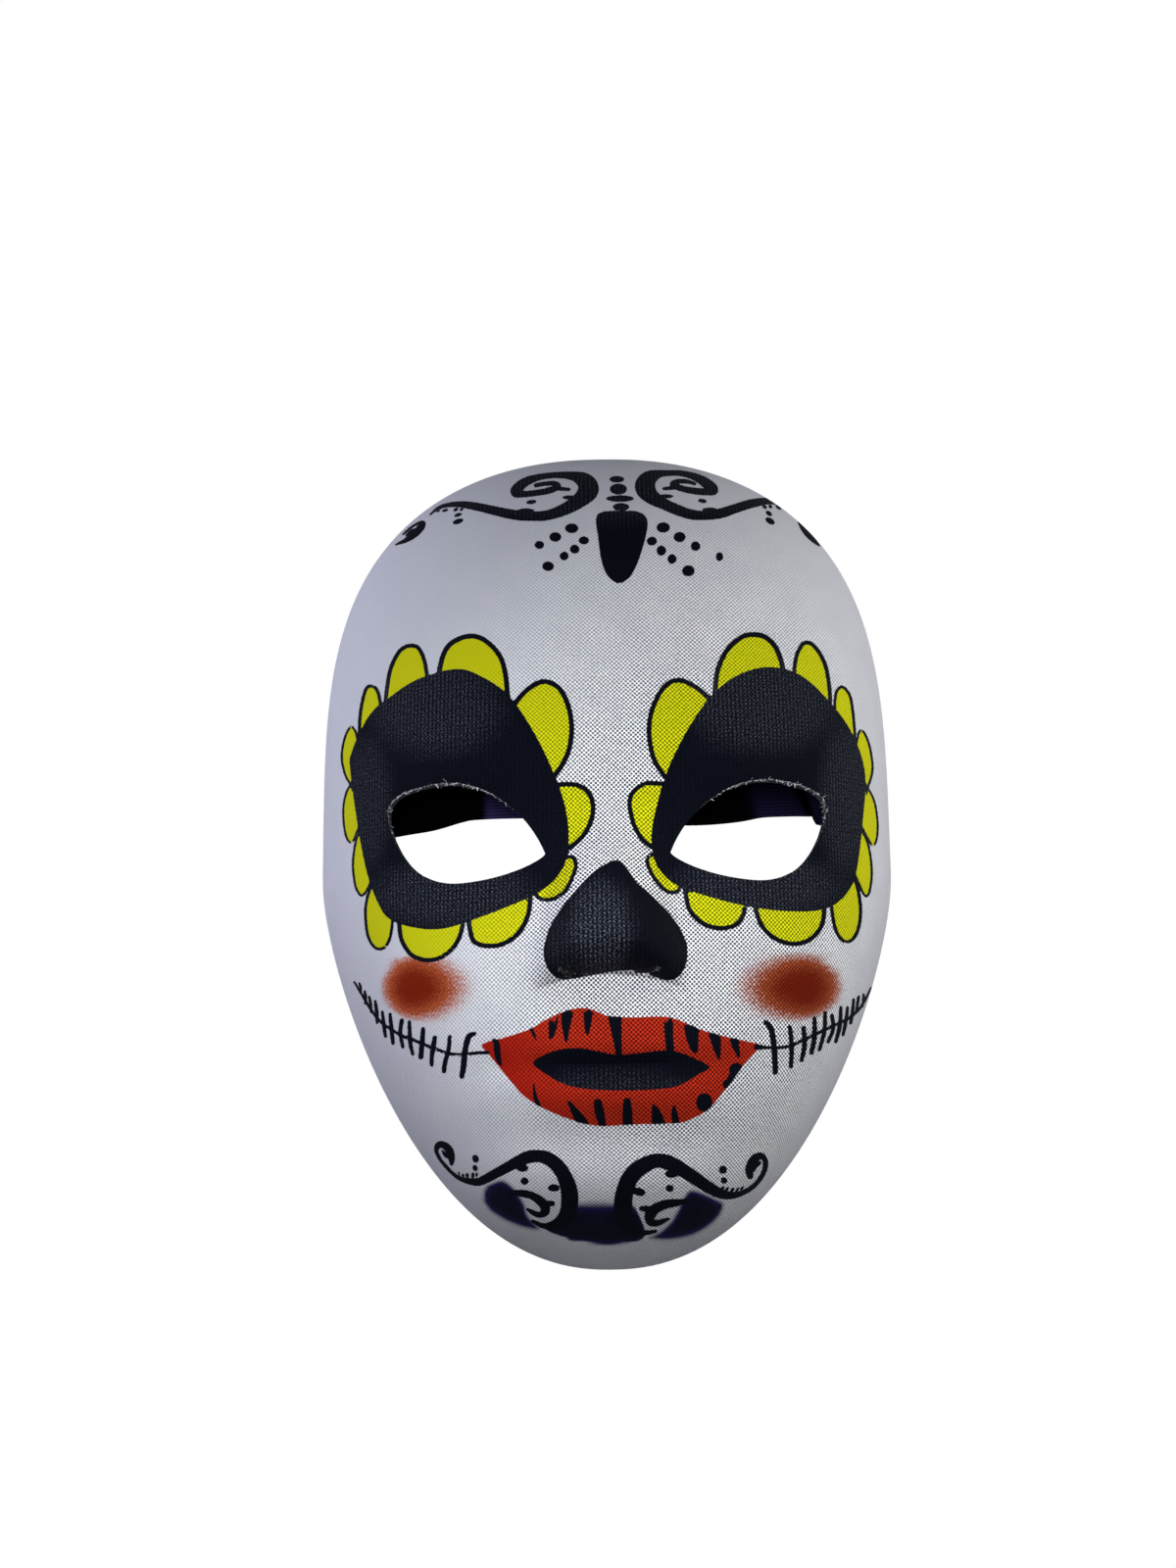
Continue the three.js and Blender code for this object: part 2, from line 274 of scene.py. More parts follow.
def nostrilAway(points):
    x, y, wide, tall = cuts["nostril"]
    lift = points[:, 2] - cuts["nostrilLevel"]
    across = np.abs(points[:, 0]) - lift * cuts["nostrilLean"][0]
    along = points[:, 1] - lift * cuts["nostrilLean"][1]
    share = np.hypot((across - x) / wide, (along - y) / tall)
    away = np.clip((share - 1) * wide, -farAway, farAway)
    return np.where(points[:, 1] < cuts["nostrilBelow"], away, farAway)


def openingAway(points):
    return np.minimum(eyeAway(points), nostrilAway(points))


# How far places lie from the steep underside of the nose, on a third of the scale
def undersideAway(points):
    out = np.abs(points[:, 0]) / noseForm["wings"]
    base = noseForm["base"] - noseForm["droop"] * np.minimum(1, out) ** 2
    return np.where(out < 1, np.abs(points[:, 1] - base - noseForm["steepAbove"]) / 3, farAway)


# How far places lie from the steep sides of the nose
def noseSideAway(points):
    f, (x, y) = noseForm, (np.abs(points[:, 0]), points[:, 1])
    half = f["bridge"] + (f["wings"] - f["bridge"]) * smooth((f["top"] - y) / (f["top"] - f["widest"]))
    beside = (y > f["base"] - f["steepBelow"]) & (y < f["top"])
    return np.where(beside, np.abs(x - f["steepAcross"] * half), np.inf)


# The print: its places are millimetres on a plane across the face, and it is pressed on by straight
# lines from one point over the face. Strokes give x, y and width; dots x, y, half sizes and tilt.
press = {"reach": 480.0}


def printPlaces(points):
    right, up, back = (np.array(axis) for axis in viewAxes())
    away = points - (np.array(view["lookAt"]) + back * view["distance"])
    return press["reach"] * np.stack([away @ right, away @ up], axis=1) / -(away @ back)[:, None]


closedShapes = {
    "leftPatch": [(-34.8, 30.2), (-28.4, 28.4), (-20.9, 23.2), (-14.2, 13.4), (-9.0, 2.6),
        (-5.9, -6.7), (-5.2, -16.0), (-7.2, -23.0), (-14.2, -29.1), (-31.5, -36.1), (-41.0, -38.2),
        (-51.1, -36.1), (-55.4, -30.9), (-59.1, -19.1), (-62.4, 2.6), (-61.9, 9.0), (-57.3, 18.3),
        (-51.6, 23.2), (-44.6, 27.6)],
    "rightPatch": [(48.2, 30.7), (40.5, 29.1), (33.8, 24.5), (27.6, 16.5), (21.1, 3.9),
        (17.5, -8.5), (16.8, -16.0), (18.8, -22.4), (25.0, -27.3), (41.3, -32.0), (54.9, -33.5),
        (63.2, -32.5), (68.1, -28.6), (70.7, -22.4), (72.5, -6.7), (72.7, 3.9), (69.4, 13.4),
        (63.7, 21.4), (56.2, 28.4)],
    "nose": [(7.7, -20.1), (4.1, -21.4), (-0.3, -24.8), (-6.2, -31.7), (-10.1, -37.9),
        (-11.6, -43.6), (-10.6, -48.5), (-7.2, -51.3), (-1.8, -50.8), (6.4, -49.3), (11.9, -49.0),
        (16.5, -50.3), (20.9, -51.6), (24.2, -50.3), (26.0, -46.2), (25.8, -41.5), (22.7, -35.8),
        (17.3, -29.9), (12.9, -26.0), (10.3, -22.4)],
    "shield": [(2.2, 70.0), (4.1, 71.6), (8.8, 71.8), (13.2, 71.6), (15.5, 69.6), (15.2, 65.5),
        (13.4, 59.3), (11.1, 54.7), (8.0, 52.9), (5.2, 54.9), (3.6, 58.8), (2.7, 65.0)],
    "lips": [(-27.8, -68.5), (-21.9, -66.7), (-15.5, -64.6), (-11.4, -62.2), (-7.2, -60.2),
        (-3.1, -59.0), (1.0, -59.3), (5.1, -61.0), (11.2, -61.4), (19.5, -61.2), (23.6, -62.0),
        (29.8, -64.7), (35.9, -66.4), (42.1, -67.8), (45.1, -69.0), (41.3, -73.5), (36.7, -79.7),
        (31.8, -85.5), (27.7, -87.9), (23.6, -89.2), (11.2, -89.6), (5.1, -90.0), (0.2, -89.6),
        (-5.2, -88.1), (-12.2, -85.1), (-17.3, -81.7), (-21.9, -76.3), (-26.2, -71.0)],
    "mouth": [(-14.4, -73.5), (-11.4, -71.3), (-7.2, -69.9), (-1.9, -69.6), (3.0, -70.5),
        (7.6, -71.3), (13.3, -70.9), (19.5, -70.2), (24.0, -70.7), (28.9, -72.7), (32.0, -74.6),
        (28.9, -76.4), (25.6, -78.5), (21.5, -79.9), (13.3, -80.5), (5.1, -80.5), (-1.1, -80.1),
        (-6.4, -78.9), (-11.4, -76.0)],
    "leftShade": [(-27.5, -108.0), (-26.8, -106.0), (-24.7, -104.8), (-22.3, -104.3),
        (-19.9, -106.0), (-18.5, -107.7), (-16.7, -110.7), (-16.1, -113.1), (-14.6, -115.1),
        (-12.8, -117.1), (-16.1, -116.9), (-20.5, -115.4), (-24.7, -113.1), (-27.1, -110.7)],
    "rightShade": [(27.5, -106.9), (25.1, -109.0), (23.7, -112.1), (21.6, -115.5), (18.8, -118.0),
        (16.1, -119.5), (19.5, -119.9), (23.0, -119.7), (27.8, -118.6), (32.0, -116.2),
        (34.7, -113.5), (35.6, -110.7), (33.7, -109.3)],
    "middleShade": [(-11.3, -116.8), (-6.4, -119.1), (0.0, -120.6), (7.7, -120.8), (14.7, -119.3),
        (13.4, -113.5), (10.3, -108.8), (3.9, -107.8), (-2.6, -108.8), (-7.2, -113.5)],
}
strokeShapes = {
    "leftBrowScroll": [(-41.5, 70.9, 0.2), (-39.7, 72.4, 0.6), (-37.4, 73.3, 0.9),
        (-34.2, 73.6, 1.3), (-31.1, 73.3, 1.8), (-27.1, 72.5, 2.0), (-23.2, 71.6, 2.2),
        (-19.2, 70.8, 2.4), (-15.3, 70.5, 2.3), (-11.3, 70.6, 2.4), (-7.8, 71.6, 2.7),
        (-4.6, 73.1, 3.2), (-1.8, 75.0, 3.9), (0.1, 77.5, 5.2), (-0.9, 79.7, 4.1),
        (-3.8, 81.0, 2.2), (-8.2, 81.3, 1.4), (-12.1, 80.9, 1.4), (-15.3, 80.0, 1.9),
        (-17.6, 78.7, 2.4), (-19.0, 76.9, 2.6), (-16.8, 76.3, 1.5), (-12.9, 76.7, 1.4),
        (-9.7, 77.4, 1.5), (-8.0, 78.4, 1.5), (-9.1, 79.1, 1.1), (-11.3, 79.0, 0.9),
        (-13.7, 78.6, 0.9)],
    "leftBrowTick": [(-8.2, 77.8, 0.9), (-6.2, 77.6, 0.7), (-5.0, 77.5, 0.6)],
    "leftEdgeCurl": [(-50.6, 63.0, 0.2), (-48.0, 64.1, 1.0), (-45.7, 65.7, 1.6),
        (-44.0, 67.5, 1.7), (-43.5, 68.6, 1.2), (-44.7, 68.6, 0.5), (-46.8, 67.3, 0.4),
        (-48.6, 65.7, 0.3)],
    "leftEdgeCurlEnd": [(-45.5, 67.1, 0.2), (-46.6, 66.3, 0.9), (-47.8, 65.4, 0.3)],
    "rightBrowScroll": [(49.8, 73.9, 0.6), (47.0, 74.4, 1.5), (43.1, 73.8, 2.1), (39.1, 72.6, 2.2),
        (35.2, 71.3, 2.4), (31.2, 70.7, 2.2), (27.3, 70.9, 2.4), (23.3, 72.2, 2.6),
        (19.8, 73.8, 2.8), (16.6, 75.7, 3.8), (15.0, 78.2, 5.1), (16.0, 80.3, 3.9),
        (18.4, 81.5, 2.0), (20.9, 81.8, 1.3), (24.1, 81.8, 1.3), (27.3, 81.1, 1.6),
        (30.0, 79.9, 2.2), (32.4, 78.0, 2.8), (32.8, 77.1, 2.1), (30.4, 76.9, 1.6),
        (27.3, 77.2, 1.5), (24.5, 77.8, 1.4), (22.4, 78.8, 1.5), (23.7, 79.6, 1.1),
        (26.1, 79.6, 0.9), (28.1, 79.0, 0.6)],
    "rightBrowTick": [(22.5, 78.0, 0.9), (20.9, 77.8, 0.7), (20.0, 77.7, 0.6)],
    "rightEdgeCurl": [(55.4, 68.8, 0.2), (56.5, 67.3, 1.0), (57.9, 65.7, 1.4), (59.4, 64.1, 1.0),
        (60.9, 62.7, 0.2)],
    "leftChinScroll": [(-35.9, -99.9, 0.8), (-35.9, -98.6, 1.5), (-36.4, -96.6, 1.9),
        (-37.7, -95.1, 1.6), (-39.3, -95.0, 1.5), (-39.9, -96.5, 0.9), (-39.0, -98.6, 0.7),
        (-37.6, -100.4, 0.7), (-35.9, -102.2, 0.7), (-33.9, -103.7, 0.9), (-31.5, -104.5, 1.4),
        (-28.8, -104.7, 1.9), (-26.5, -103.7, 2.2), (-24.1, -102.4, 2.3), (-21.1, -100.8, 2.5),
        (-18.5, -99.4, 2.8), (-15.8, -98.2, 3.1), (-13.1, -97.9, 3.0), (-10.5, -98.6, 3.3),
        (-8.1, -100.4, 3.5), (-6.3, -103.1, 3.7), (-5.2, -106.0, 4.1), (-4.8, -108.9, 4.3),
        (-5.1, -111.9, 4.1), (-6.3, -114.4, 3.6), (-8.7, -116.0, 2.4), (-11.7, -116.3, 1.2),
        (-14.6, -115.0, 0.6)],
    "leftChinCurlEnd": [(-36.6, -98.5, 0.2), (-37.5, -97.6, 0.8), (-38.3, -96.6, 0.3)],
    "leftChinInner": [(-20.5, -107.4, 0.8), (-18.8, -107.6, 1.3), (-17.0, -107.8, 1.7),
        (-14.9, -108.3, 1.8), (-13.0, -109.4, 2.1), (-11.5, -110.9, 2.4), (-11.3, -112.5, 2.1),
        (-12.7, -113.4, 1.3), (-14.5, -112.8, 1.1), (-15.9, -111.9, 0.5)],
    "leftChinTick": [(-11.7, -110.4, 1.0), (-10.3, -110.4, 1.3), (-9.4, -110.4, 1.2)],
    "rightChinScroll": [(42.7, -103.2, 1.4), (42.5, -101.2, 2.0), (43.7, -98.8, 2.1),
        (45.4, -97.9, 1.6), (46.6, -99.0, 1.2), (46.6, -101.0, 1.2), (45.6, -103.4, 1.0),
        (43.7, -105.7, 1.0), (41.3, -107.3, 1.1), (38.5, -108.2, 1.5), (35.8, -108.1, 2.1),
        (33.3, -107.1, 2.6), (30.6, -105.4, 3.0), (27.5, -103.3, 3.2), (24.4, -101.3, 3.5),
        (21.3, -99.7, 3.7), (18.1, -99.1, 3.5), (15.0, -100.2, 3.9), (12.4, -102.0, 4.1),
        (10.6, -104.5, 4.2), (9.6, -107.6, 4.4), (9.2, -110.7, 4.6), (9.4, -113.8, 4.5),
        (10.5, -116.2, 3.6), (12.6, -117.6, 2.3), (15.0, -118.1, 1.2), (17.8, -117.7, 0.6)],
    "rightChinCurlEnd": [(43.8, -101.8, 0.3), (44.0, -100.7, 0.8), (44.8, -99.9, 0.9),
        (45.4, -99.7, 0.3)],
    "rightChinInner": [(26.1, -109.7, 0.9), (24.0, -110.1, 1.5), (21.6, -110.4, 2.0),
        (19.5, -110.9, 2.2), (17.6, -111.9, 2.5), (16.3, -113.6, 2.6), (16.6, -115.3, 1.9),
        (18.5, -115.5, 1.4), (20.0, -114.9, 1.0), (21.3, -114.4, 0.4)],
    "rightChinTick": [(16.8, -111.9, 1.2), (15.2, -111.8, 1.4), (14.0, -111.7, 0.9)],
    "leftSeam": [(-26.3, -70.7, 0.6), (-29.5, -70.8, 0.6), (-32.8, -71.2, 0.6),
        (-36.2, -71.0, 0.6), (-39.6, -69.9, 0.6), (-43.0, -68.6, 0.6), (-46.3, -67.2, 0.6),
        (-48.7, -66.4, 0.6), (-51.4, -64.8, 0.5), (-54.1, -63.0, 0.5), (-56.1, -60.8, 0.5),
        (-57.8, -58.3, 0.5), (-59.5, -55.4, 0.4), (-61.5, -52.1, 0.3)],
    "rightSeam": [(44.4, -69.2, 1.3), (46.9, -69.4, 0.7), (49.5, -69.4, 0.6), (52.9, -69.0, 0.6),
        (57.0, -67.2, 0.6), (62.7, -64.5, 0.6), (68.6, -61.6, 0.5), (71.9, -58.5, 0.5),
        (74.5, -53.6, 0.3)],
    "lipCorner": [(-24.9, -67.4, 0.6), (-24.1, -68.1, 1.3), (-23.9, -70.1, 1.5),
        (-23.6, -72.2, 1.2), (-23.0, -73.8, 0.5)],
}
leftStitches = [
    [(-30.0, -65.7, 0.9), (-31.4, -66.6, 1.3), (-32.3, -69.9, 1.3), (-32.8, -74.6, 1.3), (-33.2, -76.9, 1.1)],
    [(-36.4, -66.5, 0.8), (-36.7, -69.9, 0.9), (-37.6, -73.3, 1.0), (-37.9, -75.5, 1.0)],
    [(-40.3, -66.7, 0.9), (-40.7, -69.2, 1.1), (-41.1, -71.9, 0.9), (-41.1, -73.9, 0.8)],
    [(-43.4, -64.5, 0.9), (-43.6, -67.9, 1.1), (-44.0, -71.9, 1.1)],
    [(-47.0, -62.6, 0.7), (-46.8, -67.9, 0.9), (-46.1, -71.1, 0.6)],
    [(-49.0, -62.2, 0.9), (-49.4, -65.5, 0.8), (-48.7, -69.2, 0.7)],
    [(-52.1, -60.6, 0.6), (-51.7, -64.5, 0.9), (-51.3, -68.2, 0.7)],
    [(-54.1, -60.0, 0.5), (-53.7, -63.5, 0.8), (-53.3, -66.4, 0.6)],
    [(-56.0, -57.2, 0.5), (-55.6, -60.1, 0.8), (-55.5, -62.8, 0.5)],
    [(-57.6, -56.0, 0.4), (-57.2, -57.8, 0.6), (-57.1, -60.0, 0.4)],
    [(-58.8, -54.6, 0.4), (-58.5, -56.1, 0.6), (-58.6, -57.8, 0.4)],
    [(-60.2, -52.4, 0.3), (-59.8, -53.7, 0.5), (-60.0, -54.9, 0.3)],
]
rightStitches = [
    [(46.7, -62.7, 0.9), (48.2, -64.5, 1.3), (49.0, -69.6, 1.3), (49.3, -75.8, 1.2)],
    [(53.1, -64.0, 0.9), (53.6, -69.1, 1.0), (53.4, -74.3, 0.9)],
    [(56.7, -64.2, 0.9), (57.0, -68.6, 1.1), (56.2, -72.7, 0.8)],
    [(59.6, -61.6, 0.8), (59.6, -66.5, 1.1), (58.8, -70.7, 0.9)],
    [(62.4, -60.1, 0.7), (62.2, -65.0, 0.9), (60.9, -69.9, 0.7)],
    [(64.2, -60.9, 0.8), (64.5, -64.5, 0.8), (63.2, -67.8, 0.7)],
    [(66.5, -58.8, 0.6), (66.3, -63.4, 0.9), (65.2, -67.8, 0.7)],
    [(68.3, -58.8, 0.5), (67.8, -62.7, 0.8), (67.1, -66.0, 0.6)],
    [(69.9, -56.7, 0.5), (69.6, -60.1, 0.7), (69.1, -62.9, 0.6)],
    [(71.2, -56.0, 0.5), (70.9, -58.0, 0.6), (70.7, -59.6, 0.5)],
    [(72.5, -55.4, 0.4), (72.5, -57.0, 0.6), (72.2, -58.5, 0.4)],
]
lipStripes = [
    [(-15.1, -64.3, 0.8), (-14.4, -65.5, 0.7), (-13.7, -67.3, 0.3)],
    [(-9.0, -61.2, 2.5), (-9.3, -64.1, 2.0), (-9.7, -66.5, 1.1)],
    [(-5.4, -59.6, 3.3), (-5.8, -63.7, 2.1), (-5.7, -68.1, 0.4)],
    [(0.1, -59.4, 2.6), (-0.1, -63.3, 1.6), (-0.2, -65.8, 0.8)],
    [(7.1, -61.2, 3.5), (7.6, -66.1, 2.4), (8.2, -71.3, 1.4)],
    [(21.2, -61.2, 2.5), (21.3, -66.1, 2.1), (21.7, -70.7, 2.0)],
    [(27.3, -63.5, 4.0), (27.5, -67.0, 3.1), (28.1, -69.9, 1.7)],
    [(33.3, -65.7, 3.0), (33.9, -69.0, 2.1), (34.4, -72.1, 0.7)],
    [(38.4, -67.0, 2.4), (39.0, -69.4, 1.6), (39.7, -71.6, 0.7)],
    [(-14.3, -79.0, 0.3), (-13.9, -82.2, 0.9), (-12.8, -85.3, 1.3)],
    [(-5.0, -83.7, 0.7), (-3.1, -86.7, 2.1), (-1.0, -89.8, 2.7)],
    [(2.6, -83.9, 2.0), (3.1, -86.7, 2.4), (3.9, -89.9, 1.7)],
    [(10.3, -83.6, 1.9), (10.4, -86.7, 2.5), (10.5, -89.9, 2.5)],
    [(17.1, -84.4, 0.4), (18.0, -86.7, 2.4), (18.6, -89.7, 3.5)],
    [(22.6, -84.9, 0.6), (22.8, -87.1, 1.6), (23.2, -89.5, 1.8)],
]
foreheadDots = [
    (7.6, 80.2, 1.9, 0.8, 0), (8.0, 77.6, 2.2, 1.4, 0), (8.4, 75.1, 3.6, 0.8, 0),
    (8.7, 72.9, 2.1, 1.0, 0), (19.8, 67.5, 1.7, 1.3, 0), (24.1, 65.0, 1.5, 1.3, 0),
    (28.3, 62.6, 1.2, 1.2, 0), (34.6, 59.8, 0.9, 1.1, 0), (16.8, 63.9, 1.3, 1.1, 0),
    (19.3, 61.4, 1.2, 1.3, 0), (22.1, 59.2, 1.1, 1.2, 0), (26.4, 56.1, 1.6, 1.4, 0),
    (-4.3, 67.3, 1.7, 1.2, 0), (-8.6, 65.0, 1.5, 1.2, 0), (-12.8, 62.9, 1.2, 1.0, 0),
    (-1.1, 64.1, 1.3, 1.0, 0), (-3.5, 61.8, 1.2, 1.1, 0), (-6.3, 60.0, 1.1, 1.1, 0),
    (-10.5, 57.3, 1.5, 1.2, 0),
]
browScrollDots = [
    (-4.8, 75.4, 1.9, 0.5, 0), (-14.9, 74.2, 1.3, 0.5, 8), (-16.3, 71.9, 2.1, 0.6, 0),
    (-34.2, 69.1, 1.4, 0.6, 18), (-34.2, 70.8, 1.0, 0.4, 18), (-34.8, 72.2, 0.6, 0.4, 30),
    (-33.3, 72.2, 0.5, 0.3, 30), (-37.6, 72.0, 0.8, 0.3, 15), (-39.4, 71.8, 0.5, 0.2, 20),
    (20.4, 75.7, 2.0, 0.5, 0), (30.1, 74.5, 1.1, 0.5, -8), (32.1, 72.1, 2.0, 0.6, 0),
    (47.9, 69.2, 1.3, 0.7, -32), (47.6, 71.2, 0.9, 0.5, -35), (46.5, 72.9, 0.6, 0.4, -35),
    (48.0, 73.0, 0.5, 0.4, -35), (50.1, 72.8, 0.8, 0.4, -35),
]
chinScrollDots = [
    (-16.7, -104.5, 1.0, 0.9, 0), (-9.0, -106.3, 1.5, 0.9, 0), (-17.2, -101.1, 1.5, 0.9, 0),
    (-29.6, -98.6, 0.8, 1.0, 20), (-29.7, -101.1, 0.6, 0.8, 20), (-34.0, -102.5, 0.2, 0.5, 20),
    (-32.9, -103.0, 0.3, 0.4, 20), (-31.8, -103.0, 0.4, 0.6, 10), (-30.3, -103.0, 0.4, 0.7, 0),
    (-29.3, -102.8, 0.3, 0.5, -10), (21.5, -106.4, 1.0, 0.9, 0), (13.4, -107.3, 1.7, 1.0, -15),
    (22.0, -102.6, 1.7, 1.0, 0), (35.5, -101.5, 1.0, 1.0, 0), (35.8, -104.3, 0.8, 0.8, -20),
    (35.4, -106.4, 0.4, 0.6, -30), (36.6, -106.6, 0.4, 0.6, -30), (38.0, -106.8, 0.4, 0.6, -35),
    (39.3, -106.7, 0.3, 0.6, -35), (40.5, -106.4, 0.3, 0.6, -35),
]
lipDots = [
    (30.6, -83.8, 2.1, 2.4, 0), (38.9, -75.0, 1.8, 1.5, 30), (37.9, -77.4, 1.2, 1.5, -30),
    (36.5, -79.0, 1.0, 1.2, 0), (8.0, -124.6, 0.4, 0.3, 0),
]
# Each petal: width of its line, then the outer edge of that line
petals = [
    (1.2, [(-19.7, 21.6), (-16.2, 25.4), (-11.6, 27.6), (-7.2, 25.6), (-4.6, 20.6), (-3.7, 14.4),
          (-4.6, 8.3), (-7.0, 3.6), (-8.8, 1.3)]),
    (1.2, [(-40.0, 28.4), (-38.6, 34.3), (-36.1, 37.7), (-31.5, 39.5), (-27.3, 38.6), (-23.2, 34.8),
          (-21.3, 29.9), (-20.5, 22.7)]),
    (0.95, [(-53.8, 21.1), (-53.4, 25.0), (-52.4, 30.4), (-50.3, 34.8), (-48.2, 36.5), (-46.2, 36.9),
          (-44.4, 36.2), (-42.8, 33.3), (-41.8, 28.4)]),
    (0.8, [(-60.6, 12.4), (-60.3, 18.6), (-59.3, 23.7), (-58.3, 25.8), (-56.9, 26.1), (-55.6, 25.5),
          (-54.7, 23.7), (-54.2, 21.1)]),
    (0.5, [(-60.4, 11.9), (-61.1, 14.2), (-62.4, 15.3), (-63.8, 13.4), (-64.8, 9.8), (-65.0, 6.2),
          (-64.1, 2.3), (-62.7, -0.3)]),
    (0.45, [(-62.8, -0.3), (-63.8, -2.2), (-64.5, -5.2), (-64.6, -8.8), (-64.2, -12.4), (-63.5, -14.7),
          (-62.5, -15.6), (-61.5, -15.0), (-60.6, -12.6)]),
    (0.5, [(-60.8, -13.4), (-61.5, -15.7), (-62.1, -20.6), (-61.8, -25.0), (-61.1, -27.9),
          (-59.7, -29.6), (-58.3, -28.6), (-57.0, -26.0)]),
    (0.65, [(-57.0, -25.8), (-58.4, -29.9), (-58.9, -34.0), (-58.3, -39.7), (-56.7, -42.9),
          (-54.7, -43.8), (-52.9, -42.8), (-51.7, -40.2), (-51.1, -36.1)]),
    (1.05, [(-50.3, -35.8), (-49.6, -41.0), (-47.2, -45.0), (-44.4, -46.5), (-41.8, -46.9),
          (-38.7, -46.2), (-35.6, -44.0), (-33.5, -40.9), (-32.5, -37.4)]),
    (1.15, [(-31.8, -37.4), (-30.8, -41.4), (-28.6, -42.8), (-26.0, -43.2), (-22.4, -42.7),
          (-18.8, -40.5), (-16.2, -37.1), (-14.9, -33.0), (-14.5, -28.6)]),
    (0.95, [(-14.6, -28.6), (-13.2, -30.4), (-10.8, -30.9), (-8.3, -30.4), (-5.4, -28.1), (-3.4, -24.0),
          (-2.7, -21.1), (-3.6, -19.0), (-5.4, -18.6)]),
    (1.15, [(-5.2, -17.8), (-3.1, -16.2), (-0.8, -13.9), (1.0, -10.8), (1.9, -7.2), (1.5, -3.6),
          (0.0, -1.3), (-2.3, 0.1), (-4.9, 0.5), (-8.8, 0.3)]),
    (1.15, [(32.2, 23.0), (28.6, 26.0), (24.0, 27.9), (19.9, 26.2), (16.6, 20.6), (15.5, 14.4),
          (16.2, 8.3), (17.8, 4.4), (20.1, 1.3)]),
    (1.2, [(32.8, 23.7), (33.5, 29.9), (36.1, 35.6), (40.2, 39.2), (43.6, 39.9), (46.9, 39.2),
          (49.8, 36.4), (51.3, 32.8), (52.0, 29.9)]),
    (0.95, [(53.7, 29.4), (54.4, 33.8), (56.0, 37.0), (57.5, 37.7), (59.3, 37.1), (61.5, 34.4),
          (63.1, 30.7), (64.0, 25.3), (64.2, 22.2)]),
    (0.65, [(64.6, 21.7), (65.0, 24.2), (65.9, 25.5), (66.9, 25.9), (68.2, 25.0), (69.4, 22.7),
          (70.1, 18.3), (70.6, 12.4)]),
    (0.5, [(70.7, 12.1), (71.0, 13.5), (71.8, 14.4), (73.0, 13.4), (74.3, 10.1), (75.1, 5.4),
          (74.9, 2.3), (73.8, -1.2)]),
    (0.45, [(73.8, -1.0), (75.0, -3.1), (75.9, -5.9), (76.4, -9.8), (76.4, -12.9), (76.0, -15.2),
          (75.3, -16.4), (74.3, -15.9), (72.7, -13.0)]),
    (0.5, [(72.7, -12.9), (73.9, -15.7), (74.7, -19.9), (74.9, -24.0), (74.5, -27.6), (73.9, -29.3),
          (73.1, -29.8), (72.2, -28.9), (71.2, -26.6), (70.1, -24.2)]),
    (0.8, [(70.1, -24.2), (71.3, -27.1), (72.1, -32.5), (71.7, -37.4), (70.3, -40.7), (68.2, -42.0),
          (66.3, -41.0), (64.6, -37.9), (63.6, -32.0)]),
    (1.1, [(62.8, -32.5), (62.2, -36.9), (60.3, -40.0), (57.5, -42.0), (54.2, -42.6), (50.8, -42.0),
          (47.5, -40.1), (44.9, -36.9), (43.4, -32.5)]),
    (1.1, [(41.9, -32.0), (41.1, -35.3), (38.7, -37.8), (35.1, -38.5), (31.5, -37.9), (28.4, -36.0),
          (26.0, -32.8), (24.9, -27.3)]),
    (0.9, [(25.0, -26.8), (23.7, -28.6), (21.9, -29.0), (19.9, -28.2), (17.5, -25.7), (15.7, -22.4),
          (15.1, -20.1), (15.8, -18.6), (17.5, -18.1)]),
    (1.1, [(17.0, -17.4), (14.4, -15.5), (12.6, -13.0), (11.2, -9.8), (10.4, -5.7), (10.7, -3.1),
          (11.9, -1.3), (13.7, 0.1), (16.2, 0.8), (20.1, 0.5)]),
]

# Middle, half sizes and the side on which the blush fades slowly
blushes = [(-41.5, -53.5, 13.2, 9.6, 1), (51.5, -53.5, 15.8, 9.6, -1)]
edges = {
    "strokeGrows": 0.07, "blackGrows": 0.08,
    "shade": (1.2, -2.4), "middleShade": (0.4, -0.6), "middleShadeBelow": (-108.0, -115.0),
    "blushReach": 1.08, "blushFade": 0.7, "blushSlow": 1.7, "blushSide": (-0.6, 0.8),
}


# A petal runs in below the black patch, where it is closed
def petalOutline(edge):
    arc = throughPoints(edge, False, 6)
    middle = (arc[0] + arc[-1]) / 2
    root = (arc.mean(axis=0) - middle) * 0.5
    return np.concatenate([arc, [arc[-1] - root, arc[0] - root]])


def dotOutline(x, y, wide, tall, tilt):
    turn = np.linspace(0, 2 * math.pi, 20, endpoint=False)
    c, s = math.cos(math.radians(tilt)), math.sin(math.radians(tilt))
    a, b = wide * np.cos(turn), tall * np.sin(turn)
    return np.stack([x + a * c - b * s, y + a * s + b * c], axis=1)


